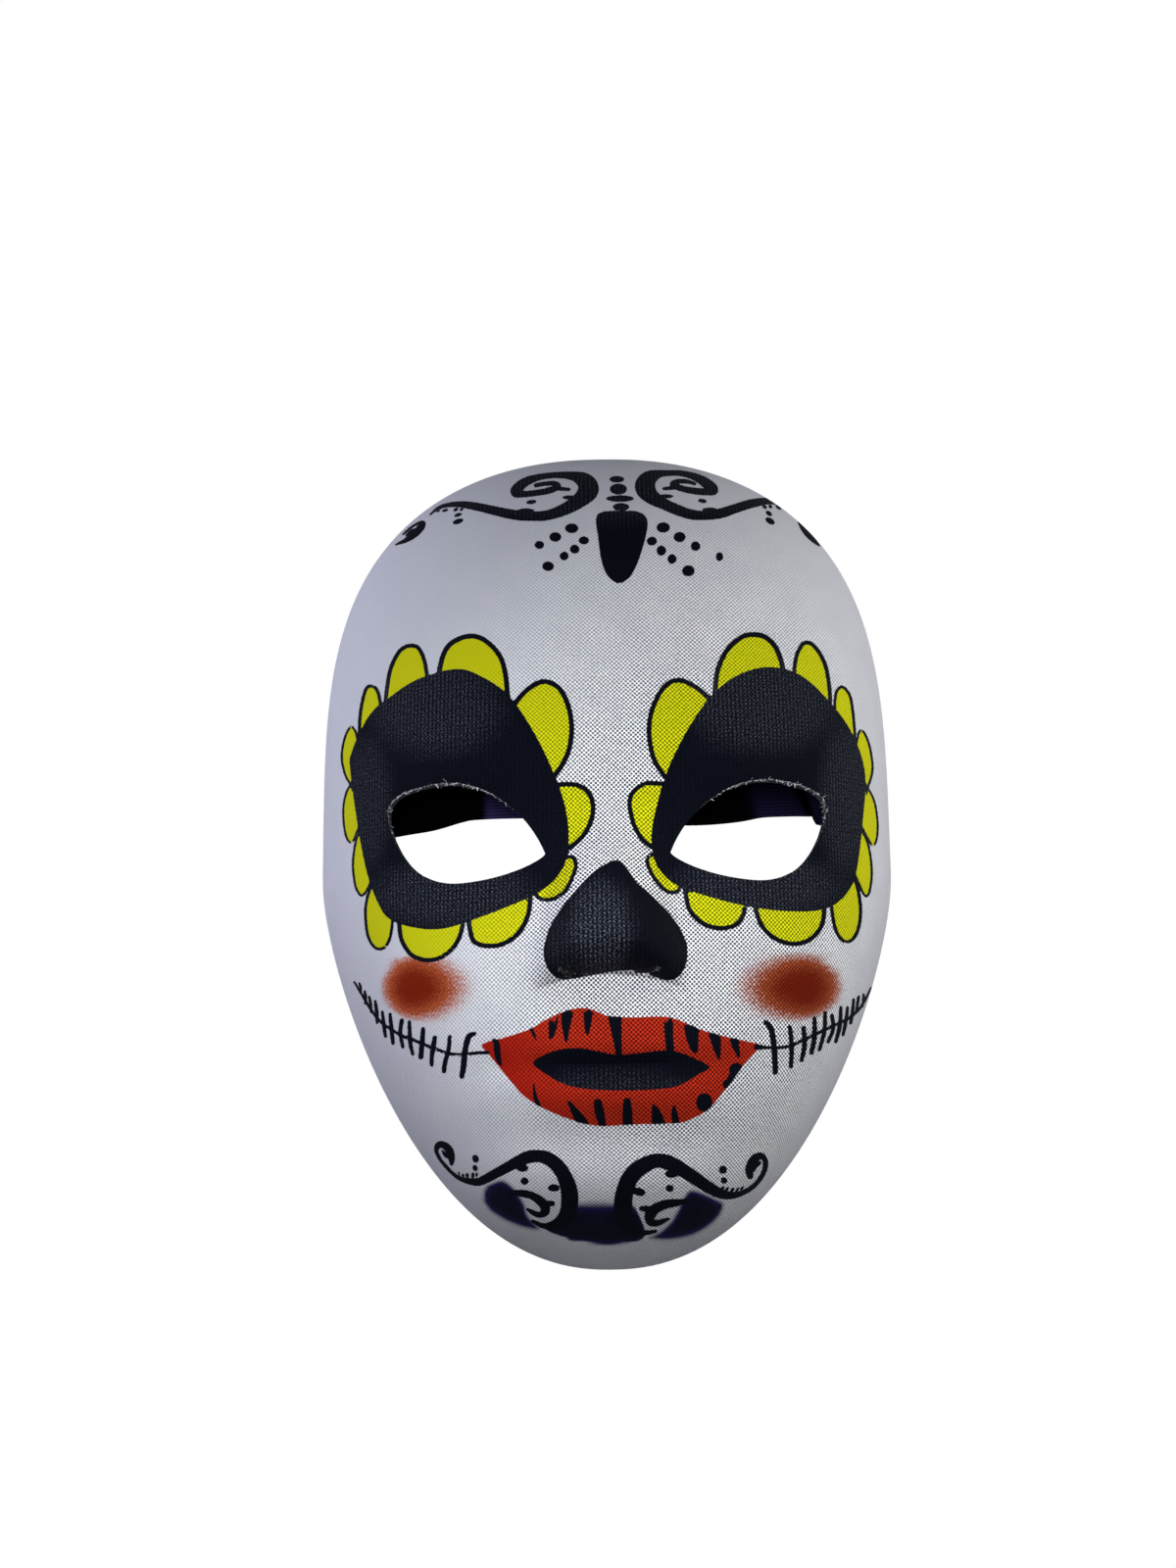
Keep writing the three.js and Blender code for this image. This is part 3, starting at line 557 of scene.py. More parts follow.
# Every colour of the print at each place: a distance from its edge, or a strength from 0 to 1
def printAt(points):
    places = printPlaces(points)
    outlines = {name: throughPoints(shape, True, 6) for name, shape in closedShapes.items()}
    away = {name: near(outlineAway, places, shape) for name, shape in outlines.items()}
    black = np.minimum.reduce([away[n] for n in ("leftPatch", "rightPatch", "nose", "shield", "mouth")])
    yellow = np.full(len(places), farAway)
    for line, edge in petals:
        inside = near(outlineAway, places, petalOutline(edge))
        black = np.minimum(black, np.abs(inside + line / 2) - line / 2)
        yellow = np.minimum(yellow, inside + line / 2)
    for stroke in [*strokeShapes.values(), *leftStitches, *rightStitches]:
        beside = near(lineAway, places, throughPoints(stroke, False, 5))
        black = np.minimum(black, beside - edges["strokeGrows"])
    for dot in foreheadDots + browScrollDots + chinScrollDots:
        black = np.minimum(black, near(outlineAway, places, dotOutline(*dot)))
    onLips = np.full(len(places), farAway)
    for stroke in lipStripes:
        onLips = np.minimum(onLips, near(lineAway, places, throughPoints(stroke, False, 5)))
    for dot in lipDots:
        onLips = np.minimum(onLips, near(outlineAway, places, dotOutline(*dot)))
    black = np.minimum(black, np.maximum(onLips, away["lips"])) - edges["blackGrows"]
    shade = np.maximum(*(soft(away[n], *edges["shade"]) for n in ("leftShade", "rightShade")))
    middle = soft(away["middleShade"], *edges["middleShade"])
    middle = middle * soft(places[:, 1], *edges["middleShadeBelow"])
    blush = np.zeros(len(places))
    for x, y, wide, tall, slowSide in blushes:
        off = (places[:, 0] - x) / wide
        far = np.hypot(off, (places[:, 1] - y) / tall)
        fading = edges["blushFade"] + edges["blushSlow"] * soft(off * slowSide, *edges["blushSide"])
        blush = np.maximum(blush, np.clip((edges["blushReach"] - far) / fading, 0, 1))
    return {
        "black": black, "yellow": yellow, "red": away["lips"],
        "shade": np.maximum(shade, middle), "blush": blush,
    }


def soft(value, none, full):
    return smooth((value - none) / (full - none))


# The face as a flat sheet: x is the turn across and y the place along. It is refined, cut out and
# thickened while it is flat, then bent to the face.
sheet = {"across": 110.0, "along": 130.0, "cell": 2.5, "snap": 0.06}


# The turn and the place along of points on the flat sheet
def flatPlaces(points):
    flat = np.array(points, float)
    return flat[:, 0] / sheet["across"], halfTall * np.sin(math.pi / 2 * flat[:, 1] / sheet["along"])


def inkEdge(points):
    ink = printAt(points)
    return np.minimum(np.abs(ink["black"]), np.abs(ink["red"]))


def shapeEdge(points):
    return np.minimum(np.abs(openingAway(points)), undersideAway(points))


# Splits the cells of a layer, 0 outside or 1 inside, within reach of a line, so that it comes out crisp
def refineSheet(bm, measure, reach, layer=0):
    middles = np.array([f.calc_center_median() for f in bm.faces], float)
    height = middles[:, 2]
    onLayer = ((np.abs(height) > 0.9) == (layer == 1)) & (height % 1 < 0.1)
    close = (measure(facePoints(*flatPlaces(middles), outsideForms)) < reach) & onLayer
    split = {edge for cell, hit in zip(bm.faces, close) if hit for edge in cell.edges}
    bmesh.ops.subdivide_edges(bm, edges=list(split), cuts=1, use_grid_fill=True)


def cutOpenings(bm):
    away = openingAway(facePoints(*flatPlaces([v.co for v in bm.verts]), outsideForms))
    bm.verts.index_update()
    value = {v: (0.0 if abs(away[v.index]) < sheet["snap"] else away[v.index]) for v in bm.verts}
    for edge in list(bm.edges):
        a, b = (value[v] for v in edge.verts)
        if a * b < 0:
            made = bmesh.utils.edge_split(edge, edge.verts[0], a / (a - b))[1]
            value[made] = 0.0
    onLine = [v for v, far in value.items() if far == 0.0]
    bmesh.ops.connect_verts(bm, verts=onLine)
    inside = [f for f in bm.faces if sum(value[v] for v in f.verts) < -1e-6]
    bmesh.ops.delete(bm, geom=inside, context="FACES")


shapeRounds = [(shapeEdge, 2.4), (shapeEdge, 0.9), (undersideAway, 0.6)]
inkRounds = [(inkEdge, 1.85), (inkEdge, 0.9), (inkEdge, 0.2)]
noseRound = (noseSideAway, 6.0)


def makeSheet(outerRounds):
    bm = bmesh.new()
    across, along = (round(2 * sheet[key] / sheet["cell"]) for key in ("across", "along"))
    bmesh.ops.create_grid(bm, x_segments=across, y_segments=along, size=1)
    bmesh.ops.scale(bm, vec=(sheet["across"], sheet["along"], 1), verts=bm.verts)
    for measure, reach in shapeRounds:
        refineSheet(bm, measure, reach)
    cutOpenings(bm)
    bmesh.ops.solidify(bm, geom=bm.faces[:], thickness=1)
    for measure, reach in outerRounds:
        refineSheet(bm, measure, reach)
    refineSheet(bm, *noseRound, layer=1)
    return bm


def meshFrom(bm, name):
    mesh = bpy.data.meshes.new(name)
    bm.to_mesh(mesh)
    bm.free()
    return mesh


# Bends the two flat layers to the face, one at each depth below it. Round an opening the
# thickness follows the cut instead of the face's own slope.
def bendSheet(bm, name, depths, innerForms, lowest):
    turn, y = flatPlaces([v.co for v in bm.verts])
    inner = np.array([abs(v.co.z) > 0.5 for v in bm.verts])
    base = facePoints(turn, y, outsideForms)
    placed = np.empty_like(base)
    for layer, depth, further in ((~inner, depths[0], outsideForms), (inner, depths[1], innerForms)):
        placed[layer] = insetPoints(turn[layer], y[layer], depth, further) if depth else base[layer]
    depth = np.where(inner, depths[1], depths[0])
    slope = insetPoints(turn, y, 0.0, outsideForms) - insetPoints(turn, y, 1.0, outsideForms)
    side = np.sign(base[:, 0])
    leans = [np.stack([cuts[key][0] * side, 0 * side + cuts[key][1], 0 * side + 1], axis=1)
             for key in ("nostrilLean", "lean")]
    lean = np.where((nostrilAway(base) < cuts["nostrilReach"])[:, None], *leans)
    steep = np.clip(np.sum(lean * slope, axis=1), cuts["steepest"], None)
    follows = base - lean * (depth / steep)[:, None]
    blend = np.maximum(soft(eyeAway(base), *cuts["eyeBlend"]),
                       soft(nostrilAway(base), *cuts["nostrilBlend"]))[:, None]
    placed = placed * (1 - blend) + follows * blend
    placed[:, 2] = np.maximum(placed[:, 2], lowest)
    for v, point in zip(bm.verts, placed):
        v.co = point * mm
    order = bm.verts.layers.int.new("order")
    for i, v in enumerate(bm.verts):
        v[order] = i
    bmesh.ops.remove_doubles(bm, verts=bm.verts, dist=0.00001)
    bmesh.ops.recalc_face_normals(bm, faces=bm.faces)
    if max(bm.faces, key=lambda face: face.calc_center_median().z).normal.z < 0:
        bmesh.ops.reverse_faces(bm, faces=bm.faces)
    kept = np.array([v[order] for v in bm.verts])
    bm.verts.layers.int.remove(bm.verts.layers.int["order"])
    places = {"base": base[kept], "turn": turn[kept], "y": y[kept], "depth": inner[kept] * 1.0}
    return meshFrom(bm, name), places


def triangles(mesh):
    return sum(len(face.vertices) - 2 for face in mesh.polygons)


def setValues(mesh, name, values):
    mesh.attributes.new(name, "FLOAT", "POINT").data.foreach_set("value", values.astype(np.float32))


def setUv(mesh, name, places):
    corner = np.zeros(len(mesh.loops), np.int32)
    mesh.loops.foreach_get("vertex_index", corner)
    mesh.uv_layers.new(name=name).data.foreach_set("uv", places[corner].astype(np.float32).ravel())


sharpAngle = math.radians(40)


def makePiece(mesh, node, material):
    piece = addObject(mesh.name, mesh)
    mesh.materials.append(material)
    mesh.shade_smooth()
    mesh.set_sharp_from_angle(angle=sharpAngle)
    if node:
        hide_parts(node)
    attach(piece, "root")


# How far the knit runs from the middle of the face, measured along the plain dome
def knitPlaces(turn, y):
    rows, columns = 160, 120
    levels, turns = np.linspace(-1, 1, rows + 1), np.linspace(0, 1, columns + 1)
    ys = halfTall * np.sin(math.pi / 2 * levels)
    grid = [np.stack([rimHalfWidth(ys) * math.sin(math.pi / 2 * t), domeRidge(ys) * rounded(
        np.sin(math.pi / 2 * t), face["section"], 2)]) for t in turns]
    steps = [np.hypot(*(b - a)) for a, b in zip(grid[:-1], grid[1:])]
    across = np.concatenate([np.zeros((1, len(ys))), np.cumsum(steps, axis=0)])
    ridge = domeRidge(ys)
    along = np.concatenate([[0], np.cumsum(np.hypot(np.diff(ys), np.diff(ridge)))])
    along = along - np.interp(0, ys, along)
    row = (np.arcsin(np.clip(y / halfTall, -1, 1)) / (math.pi / 2) + 1) * rows / 2
    row = np.clip(row, 0, rows - 0.001)
    column = np.clip(np.abs(turn) * columns, 0, columns - 0.001)
    r, c = row.astype(int), column.astype(int)
    fr, fc = row - r, column - c
    u = ((across[c, r] * (1 - fc) + across[c + 1, r] * fc) * (1 - fr)
         + (across[c, r + 1] * (1 - fc) + across[c + 1, r + 1] * fc) * fr)
    return np.stack([np.sign(turn) * u, np.interp(y, ys, along)], axis=1)


# Adds a node; each input takes a plain value or another node's output
def add(tree, kind, inputs=None, **settings):
    made = tree.nodes.new("ShaderNode" + kind)
    for key, value in settings.items():
        setattr(made, key, value)
    for key, value in (inputs or {}).items():
        if isinstance(value, bpy.types.NodeSocket):
            tree.links.new(value, made.inputs[key])
        else:
            made.inputs[key].default_value = value
    return made


def calc(tree, operation, *values):
    return add(tree, "Math", dict(enumerate(values)), operation=operation).outputs[0]


def times(tree, *factors):
    return calc(tree, "MULTIPLY", *factors)


def fade(tree, value, none, full, low=0.0, high=1.0):
    inputs = {"Value": value, "From Min": none, "From Max": full, "To Min": low, "To Max": high}
    return add(tree, "MapRange", inputs, interpolation_type="SMOOTHSTEP").outputs[0]


def mixColours(tree, factor, a, b, how="MIX"):
    colours = {0: factor, 6: a, 7: b}
    return add(tree, "Mix", colours, data_type="RGBA", blend_type=how).outputs[2]


def noise(tree, place, scale, detail=2.0, rough=0.5):
    inputs = {"Vector": place, "Scale": scale, "Detail": detail, "Roughness": rough}
    return add(tree, "TexNoise", inputs).outputs["Fac"]


# Noise that swings about 0
def swing(tree, amount, *settings):
    return times(tree, calc(tree, "SUBTRACT", noise(tree, *settings), 0.5), amount)


def addBump(tree, shader, height, strength, distance):
    bump = add(tree, "Bump", {"Height": height, "Strength": strength, "Distance": distance})
    tree.links.new(bump.outputs[0], shader.inputs["Normal"])


# A group takes places and plain amounts
def newGroup(name, amounts, outputs):
    group = bpy.data.node_groups.new(name, "ShaderNodeTree")
    group.interface.new_socket("Place", in_out="INPUT", socket_type="NodeSocketVector")
    for label, amount in amounts.items():
        socket = group.interface.new_socket(label, in_out="INPUT", socket_type="NodeSocketFloat")
        socket.default_value = amount
    for label in outputs:
        group.interface.new_socket(label, in_out="OUTPUT", socket_type="NodeSocketFloat")
    return group, group.nodes.new("NodeGroupInput").outputs, group.nodes.new("NodeGroupOutput").inputs


def useGroup(tree, group, place):
    used = tree.nodes.new("ShaderNodeGroup")
    used.node_tree = group
    tree.links.new(place, used.inputs["Place"])
    return used.outputs


# Knit: staggered pores between the stitches, a little uneven. Places are in millimetres.
knitAmounts = {"Wale": 1.12, "Course": 1.1, "Wander": 0.3}
fuzzAmounts = {"Grain": 900.0, "Loops": 1400.0}


def makeKnitGroup():
    group, given, out = newGroup("knit", knitAmounts, ("Pore", "Stitch", "Height"))
    slow = add(group, "TexNoise", {"Vector": given["Place"], "Scale": 0.35, "Detail": 2.0})
    shift = add(group, "VectorMath", {0: slow.outputs["Color"], 1: (0.5, 0.5, 0.5)}, operation="SUBTRACT")
    shift = add(group, "VectorMath", {0: shift.outputs[0], "Scale": given["Wander"]}, operation="SCALE")
    place = add(group, "VectorMath", {0: given["Place"], 1: shift.outputs[0]}, operation="ADD")
    split = add(group, "SeparateXYZ", {0: place.outputs[0]}).outputs
    turns = []
    for socket, gap in ((split[0], given["Wale"]), (split[1], given["Course"])):
        turns.append(times(group, calc(group, "DIVIDE", socket, gap), 2 * math.pi))
    across, along = (calc(group, "COSINE", turn) for turn in turns)
    lattice = times(group, across, along)
    ribs = calc(group, "SUBTRACT", times(group, across, 0.26), times(group, lattice, 0.3))
    stitch = calc(group, "ADD", ribs, swing(group, 5.0, given["Place"], 2.5, 3.0, 0.7))
    group.links.new(fade(group, stitch, -0.15, 1.3), out["Stitch"])
    uneven = swing(group, 1.0, given["Place"], 1.3, 3.0, 0.6)
    pore = fade(group, calc(group, "ADD", lattice, uneven), -0.25, 0.3)
    thread = times(group, noise(group, given["Place"], 4.0, 2.0), 0.35)
    group.links.new(pore, out["Pore"])
    group.links.new(calc(group, "SUBTRACT", thread, pore), out["Height"])
    return group


# Loose fibre on a cut edge: pale specks on a grey fuzz
def makeFuzzGroup():
    group, given, out = newGroup("cut fuzz", fuzzAmounts, ("Speck", "Height"))
    fine = noise(group, given["Place"], given["Grain"], 3.0, 0.65)
    loops = add(group, "TexVoronoi", {"Vector": given["Place"], "Scale": given["Loops"]}, feature="F1")
    speck = fade(group, loops.outputs["Distance"], 0.42, 0.2)
    speck = times(group, speck, fade(group, fine, 0.44, 0.6))
    group.links.new(speck, out["Speck"])
    group.links.new(calc(group, "ADD", fine, speck), out["Height"])
    return group


knitGroup, fuzzGroup = makeKnitGroup(), makeFuzzGroup()


def newMaterial(name, rough, shine=0.5):
    material = bpy.data.materials.new(name)
    material.use_nodes = True
    shader = material.node_tree.nodes["Principled BSDF"]
    shader.inputs["Roughness"].default_value = rough
    shader.inputs["Specular IOR Level"].default_value = shine
    return material, material.node_tree, shader


def value(tree, name):
    return add(tree, "Attribute", attribute_name=name).outputs["Fac"]


# Lays the fuzz of a cut edge over a colour and its height
def addFuzz(tree, place, onCut, colour, height, dull, bright):
    fuzz = useGroup(tree, fuzzGroup, place)
    cut = mixColours(tree, fuzz["Speck"], dull, bright)
    raised = times(tree, times(tree, fuzz["Height"], onCut), 2.0)
    return mixColours(tree, onCut, colour, cut), calc(tree, "ADD", height, raised)


# The closed inks are darker copies of white, yellow and red: painted shade for the closed knit towards the
# rim
inks = {
    "white": (0.95, 0.95, 0.97, 1), "shadedClosedWhite": (0.405, 0.41, 0.455, 1),
    "dullWhite": (0.70, 0.70, 0.76, 1), "pore": (0.035, 0.035, 0.05, 1),
    "yellow": (0.71, 0.705, 0.006, 1), "shadedClosedYellow": (0.40, 0.40, 0.004, 1),
    "yellowPore": (0.12, 0.13, 0.002, 1),
    "red": (0.50, 0.03, 0.009, 1), "shadedClosedRed": (0.36, 0.011, 0.004, 1),
    "redPore": (0.09, 0.002, 0.002, 1),
    "black": (0.0014, 0.0022, 0.0055, 1), "blackSpeck": (0.155, 0.165, 0.21, 1),
    "blush": (0.165, 0.011, 0.0015, 1), "blushEdge": (0.40, 0.09, 0.03, 1),
    "blushPore": (0.05, 0.004, 0.002, 1),
    "shade": (0.010, 0.008, 0.06, 1), "shadeDeep": (0.004, 0.004, 0.014, 1),
    "cutFuzz": (0.04, 0.04, 0.047, 1), "cutSpeck": (0.85, 0.85, 0.9, 1),
    "bleed": 0.16, "edge": 0.09,
}
# Where one state of the print fades to another
fades = {
    "mottle": (0.3, 0.7), "blushDeep": (0.1, 0.74), "blushEnds": (-0.05, 0.36), "blushTrim": (0.0, 0.2),
    "redCloses": (0.55, 1.0), "shadeDeep": (0.45, 0.95), "shadeEnds": (0.02, 0.55),
    "cutBand": (0.12, 0.04), "cutDepth": (0.02, 0.3),
}


def coverMaterial():
    material, tree, shader = newMaterial("printed knit", 0.86, 0.04)
    place = add(tree, "UVMap", uv_map="knit").outputs[0]
    knit = useGroup(tree, knitGroup, place)
    openAndLit = value(tree, "openAndLit")
    pore = times(tree, knit["Pore"], openAndLit)
    bleed = swing(tree, inks["bleed"] * 2, place, 1.6, 2.0)

    def ink(name):
        return fade(tree, calc(tree, "ADD", value(tree, name), bleed), inks["edge"], -inks["edge"])

    mottle = fade(tree, noise(tree, place, 0.11, 3.0), *fades["mottle"])
    white = mixColours(tree, times(tree, mottle, 0.35), inks["white"], inks["dullWhite"])
    # Painted shade: towards the rim, as the knit closes, each ink turns to a darker copy of itself
    white = mixColours(tree, openAndLit, inks["shadedClosedWhite"], white)
    colour = mixColours(tree, pore, white, inks["pore"])
    dotted = calc(tree, "ADD", value(tree, "blush"), swing(tree, 0.5, place, 1.5, 2.0))
    blush = mixColours(tree, fade(tree, dotted, *fades["blushDeep"]), inks["blushEdge"], inks["blush"])
    blush = mixColours(tree, times(tree, pore, 0.8), blush, inks["blushPore"])
    blushed = times(tree, fade(tree, dotted, *fades["blushEnds"]),
                    fade(tree, value(tree, "blush"), *fades["blushTrim"]))
    colour = mixColours(tree, blushed, colour, blush)
    yellow = mixColours(tree, openAndLit, inks["shadedClosedYellow"], inks["yellow"])
    yellow = mixColours(tree, pore, yellow, inks["yellowPore"])
    colour = mixColours(tree, ink("yellow"), colour, yellow)
    red = mixColours(tree, fade(tree, openAndLit, *fades["redCloses"]), inks["shadedClosedRed"], inks["red"])
    red = mixColours(tree, pore, red, inks["redPore"])
    colour = mixColours(tree, ink("red"), colour, red)
    shade = value(tree, "shade")
    deep = mixColours(tree, fade(tree, shade, *fades["shadeDeep"]), inks["shade"], inks["shadeDeep"])
    colour = mixColours(tree, fade(tree, shade, *fades["shadeEnds"]), colour, deep)
    # Pale specks in the black: the stretched knit, and painted sheen where the black faces the light
    speck = times(tree, knit["Stitch"], value(tree, "stretchAndSheen"))
    black = mixColours(tree, speck, inks["black"], inks["blackSpeck"])
    colour = mixColours(tree, ink("black"), colour, black)
    onCut = times(tree, fade(tree, value(tree, "away"), *fades["cutBand"]),
                  fade(tree, value(tree, "depth"), *fades["cutDepth"]))
    colour, height = addFuzz(tree, add(tree, "TexCoord").outputs["Object"], onCut, colour,
                             times(tree, knit["Height"], openAndLit), inks["cutFuzz"], inks["cutSpeck"])
    tree.links.new(colour, shader.inputs["Base Color"])
    addBump(tree, shader, height, 0.6, 0.00018)
    return material


# Where the black is paler, partly the stretched knit showing through and partly painted sheen where the black
# faces the light, as on the nose and the lower lip: middle, half sizes and strength
stretchAndSheen = [
    (3, -38, 8, 12.5, 1.0), (-40, 20, 17, 12, 0.5), (-36, -29, 21, 9, 0.55), (46, 21, 19, 12, 0.55),
    (45, -27, 22, 8, 0.6), (68, -4, 7, 20, 0.5), (-58, -5, 6, 17, 0.4), (0, 78, 60, 9, 0.3),
    (-6, -42, 5, 8, 0.3), (7, -78.6, 19, 2.4, 0.4),
]
stretchAndSheenLeast, stretchAndSheenFade = 0.03, (1.35, 0.6)

# How open the knit is: most on the stretched middle of the face. Where it is low, towards the rim, it also
# darkens the inks as painted shade
openKnitAndLight = {"middle": (20, -20), "spread": (75, 122), "fade": (1.1, 0.35), "turn": (0.9, 0.5), "least": 0.12}


def stretchAndSheenAt(points):
    places = printPlaces(points)
    amounts = [np.full(len(places), stretchAndSheenLeast)]
    for x, y, wide, tall, most in stretchAndSheen:
        far = np.hypot((places[:, 0] - x) / wide, (places[:, 1] - y) / tall)
        amounts.append(most * soft(far, *stretchAndSheenFade))
    return np.maximum.reduce(amounts)


def makeCover():
    bm = makeSheet(inkRounds)
    mesh, places = bendSheet(bm, "knit_cover", (0.0, layers["cover"]), outsideForms, layers["hemLift"])
    for name, values in printAt(places["base"]).items():
        setValues(mesh, name, values)
    setValues(mesh, "depth", places["depth"])
    setValues(mesh, "away", eyeAway(places["base"]))
    setValues(mesh, "stretchAndSheen", stretchAndSheenAt(places["base"]))
    far = np.hypot(*((places["base"][:, :2] - openKnitAndLight["middle"]) / openKnitAndLight["spread"]).T)
    openedAndLit = soft(far, *openKnitAndLight["fade"]) * soft(np.abs(places["turn"]), *openKnitAndLight["turn"])
    setValues(mesh, "openAndLit", openKnitAndLight["least"] + (1 - openKnitAndLight["least"]) * openedAndLit)
    setUv(mesh, "knit", knitPlaces(places["turn"], places["y"]))
    makePiece(mesh, "printed_fabric_cover", coverMaterial())
    print("cover ready:", triangles(mesh), "triangles")


makeCover()


plastic = {
    "dark": (0.006, 0.006, 0.008, 1), "pale": (0.011, 0.011, 0.014, 1), "rough": (0.55, 0.7),
    "cut": (0.03, 0.03, 0.036, 1), "cutSpeck": (0.13, 0.13, 0.15, 1), "cutBand": (0.15, 0.05),
}


def shellMaterial():
    material, tree, shader = newMaterial("moulded plastic", plastic["rough"][0], 0.15)
    place = add(tree, "TexCoord").outputs["Object"]
    mottle = fade(tree, noise(tree, place, 60.0, 3.0), *fades["mottle"])
    onCut = fade(tree, value(tree, "away"), *plastic["cutBand"])
    colour, height = addFuzz(
        tree, place, onCut, mixColours(tree, mottle, plastic["dark"], plastic["pale"]),
        noise(tree, place, 1400.0, 3.0), plastic["cut"], plastic["cutSpeck"])
    tree.links.new(colour, shader.inputs["Base Color"])
    addBump(tree, shader, height, 0.5, 0.0001)
    tree.links.new(fade(tree, mottle, 0.0, 1.0, *plastic["rough"]), shader.inputs["Roughness"])
    return material


def makeShell():
    bm = makeSheet([noseRound])
    outer = layers["cover"] + layers["bond"]
    mesh, places = bendSheet(bm, "face_shell", (outer, outer + layers["shell"]), insideForms, 0.0)
    setValues(mesh, "away", eyeAway(places["base"]))
    makePiece(mesh, "moulded_shell", shellMaterial())
    print("shell ready:", triangles(mesh), "triangles")


makeShell()

# The strap: bonded inside both temples, it lies on the table and is folded over itself on the right
strap = {
    "width": 20.0, "thickness": 1.2, "level": 13.0, "bondedAt": (30, 23, 16, 10), "glue": 0.5,
    "foldSlant": 0.53, "across": 16, "along": 260,
    "foldFrom": (0.9, 2.9), "foldTo": (12.0, 10.0), "foldEnd": (72.0, 58.0),  # heights, and a place across
    # Painted light and shade: the dark colours stand for the band in shadow, the purple ones for where light
    # falls on it
    "dark": (0.0002, 0.0002, 0.0004, 1), "shadedWeave": (0.001, 0.0009, 0.0016, 1),
    "litPurple": (0.010, 0.008, 0.034, 1), "litPurpleWeave": (0.042, 0.033, 0.12, 1),
    "rib": 0.9, "pick": 0.55,
}
strapRun = [
    (-73.2, 13.2, 5), (-70, 13.6, 1.6), (-64, 14.6, 0.9), (-56, 15.9, 0.9), (-50, 16.9, 0.9),
    (-43, 18.9, 0.9), (-37, 19.9, 0.9), (-22, 20.2, 0.9), (0, 19.4, 0.9), (18, 17.9, 0.9),
    (27, 17.7, 0.9), (36, 18.4, 0.9), (43, 19.6, 0.9), (52, 19.9, 0.9), (58, 19.8, 1.0),
    (61.6, 19.7, 2.2), (61.8, 19.5, 3.6), (59.4, 18.6, 4.9), (56.4, 17.4, 5.7), (54.8, 16.7, 7.2),
    (56.4, 16, 8.8), (60.5, 15.2, 9.2), (66, 14, 8.4), (71, 13.4, 8),
]


# The place across at a level and a height, an inset inwards of the face
def placeInside(y, z, inset):
    low, high = 0.5, 1.0
    for _ in range(30):
        middle = (low + high) / 2
        if insetPoints(np.array([middle]), np.array([y]), inset, insideForms)[0, 2] > z:
            low = middle
        else:
            high = middle
    return float(insetPoints(np.array([low]), np.array([y]), inset, insideForms)[0, 0])


def strapRoute():
    inset = layers["cover"] + layers["bond"] + layers["shell"] + strap["glue"] + strap["thickness"] / 2
    bonded = [(placeInside(strap["level"], z, inset), strap["level"], z) for z in strap["bondedAt"]]
    points = [(-x, y, z) for x, y, z in bonded] + strapRun + bonded[::-1]
    line = throughPoints(points, False, 14)
    run = np.concatenate([[0], np.cumsum(np.linalg.norm(np.diff(line, axis=0), axis=1))])
    even = np.linspace(0, run[-1], strap["along"] + 1)
    return np.stack([np.interp(even, run, line[:, i]) for i in range(3)], axis=1), even


def strapMaterial():
    material, tree, shader = newMaterial("woven elastic", 0.75, 0.0)
    place = add(tree, "UVMap", uv_map="weave").outputs[0]
    split = add(tree, "SeparateXYZ", {0: place}).outputs
    waves = [calc(tree, "SINE", times(tree, split[i], math.pi / strap[key]))
             for i, key in enumerate(("rib", "pick"))]
    ribs, picks = (calc(tree, "ABSOLUTE", wave) for wave in waves)
    weave = calc(tree, "ADD", times(tree, ribs, 0.7), times(tree, picks, 0.4))
    weave = calc(tree, "ADD", weave, times(tree, noise(tree, place, 3.0, 2.0), 0.3))
    pale = fade(tree, weave, 0.3, 1.2)
    # Painted light and shade: the band is coloured dark where shaded and purple where lit
    dark = mixColours(tree, pale, strap["dark"], strap["shadedWeave"])
    litPurple = mixColours(tree, pale, strap["litPurple"], strap["litPurpleWeave"])
    tree.links.new(mixColours(tree, value(tree, "lit"), dark, litPurple), shader.inputs["Base Color"])
    addBump(tree, shader, weave, 0.7, 0.0002)
    return material


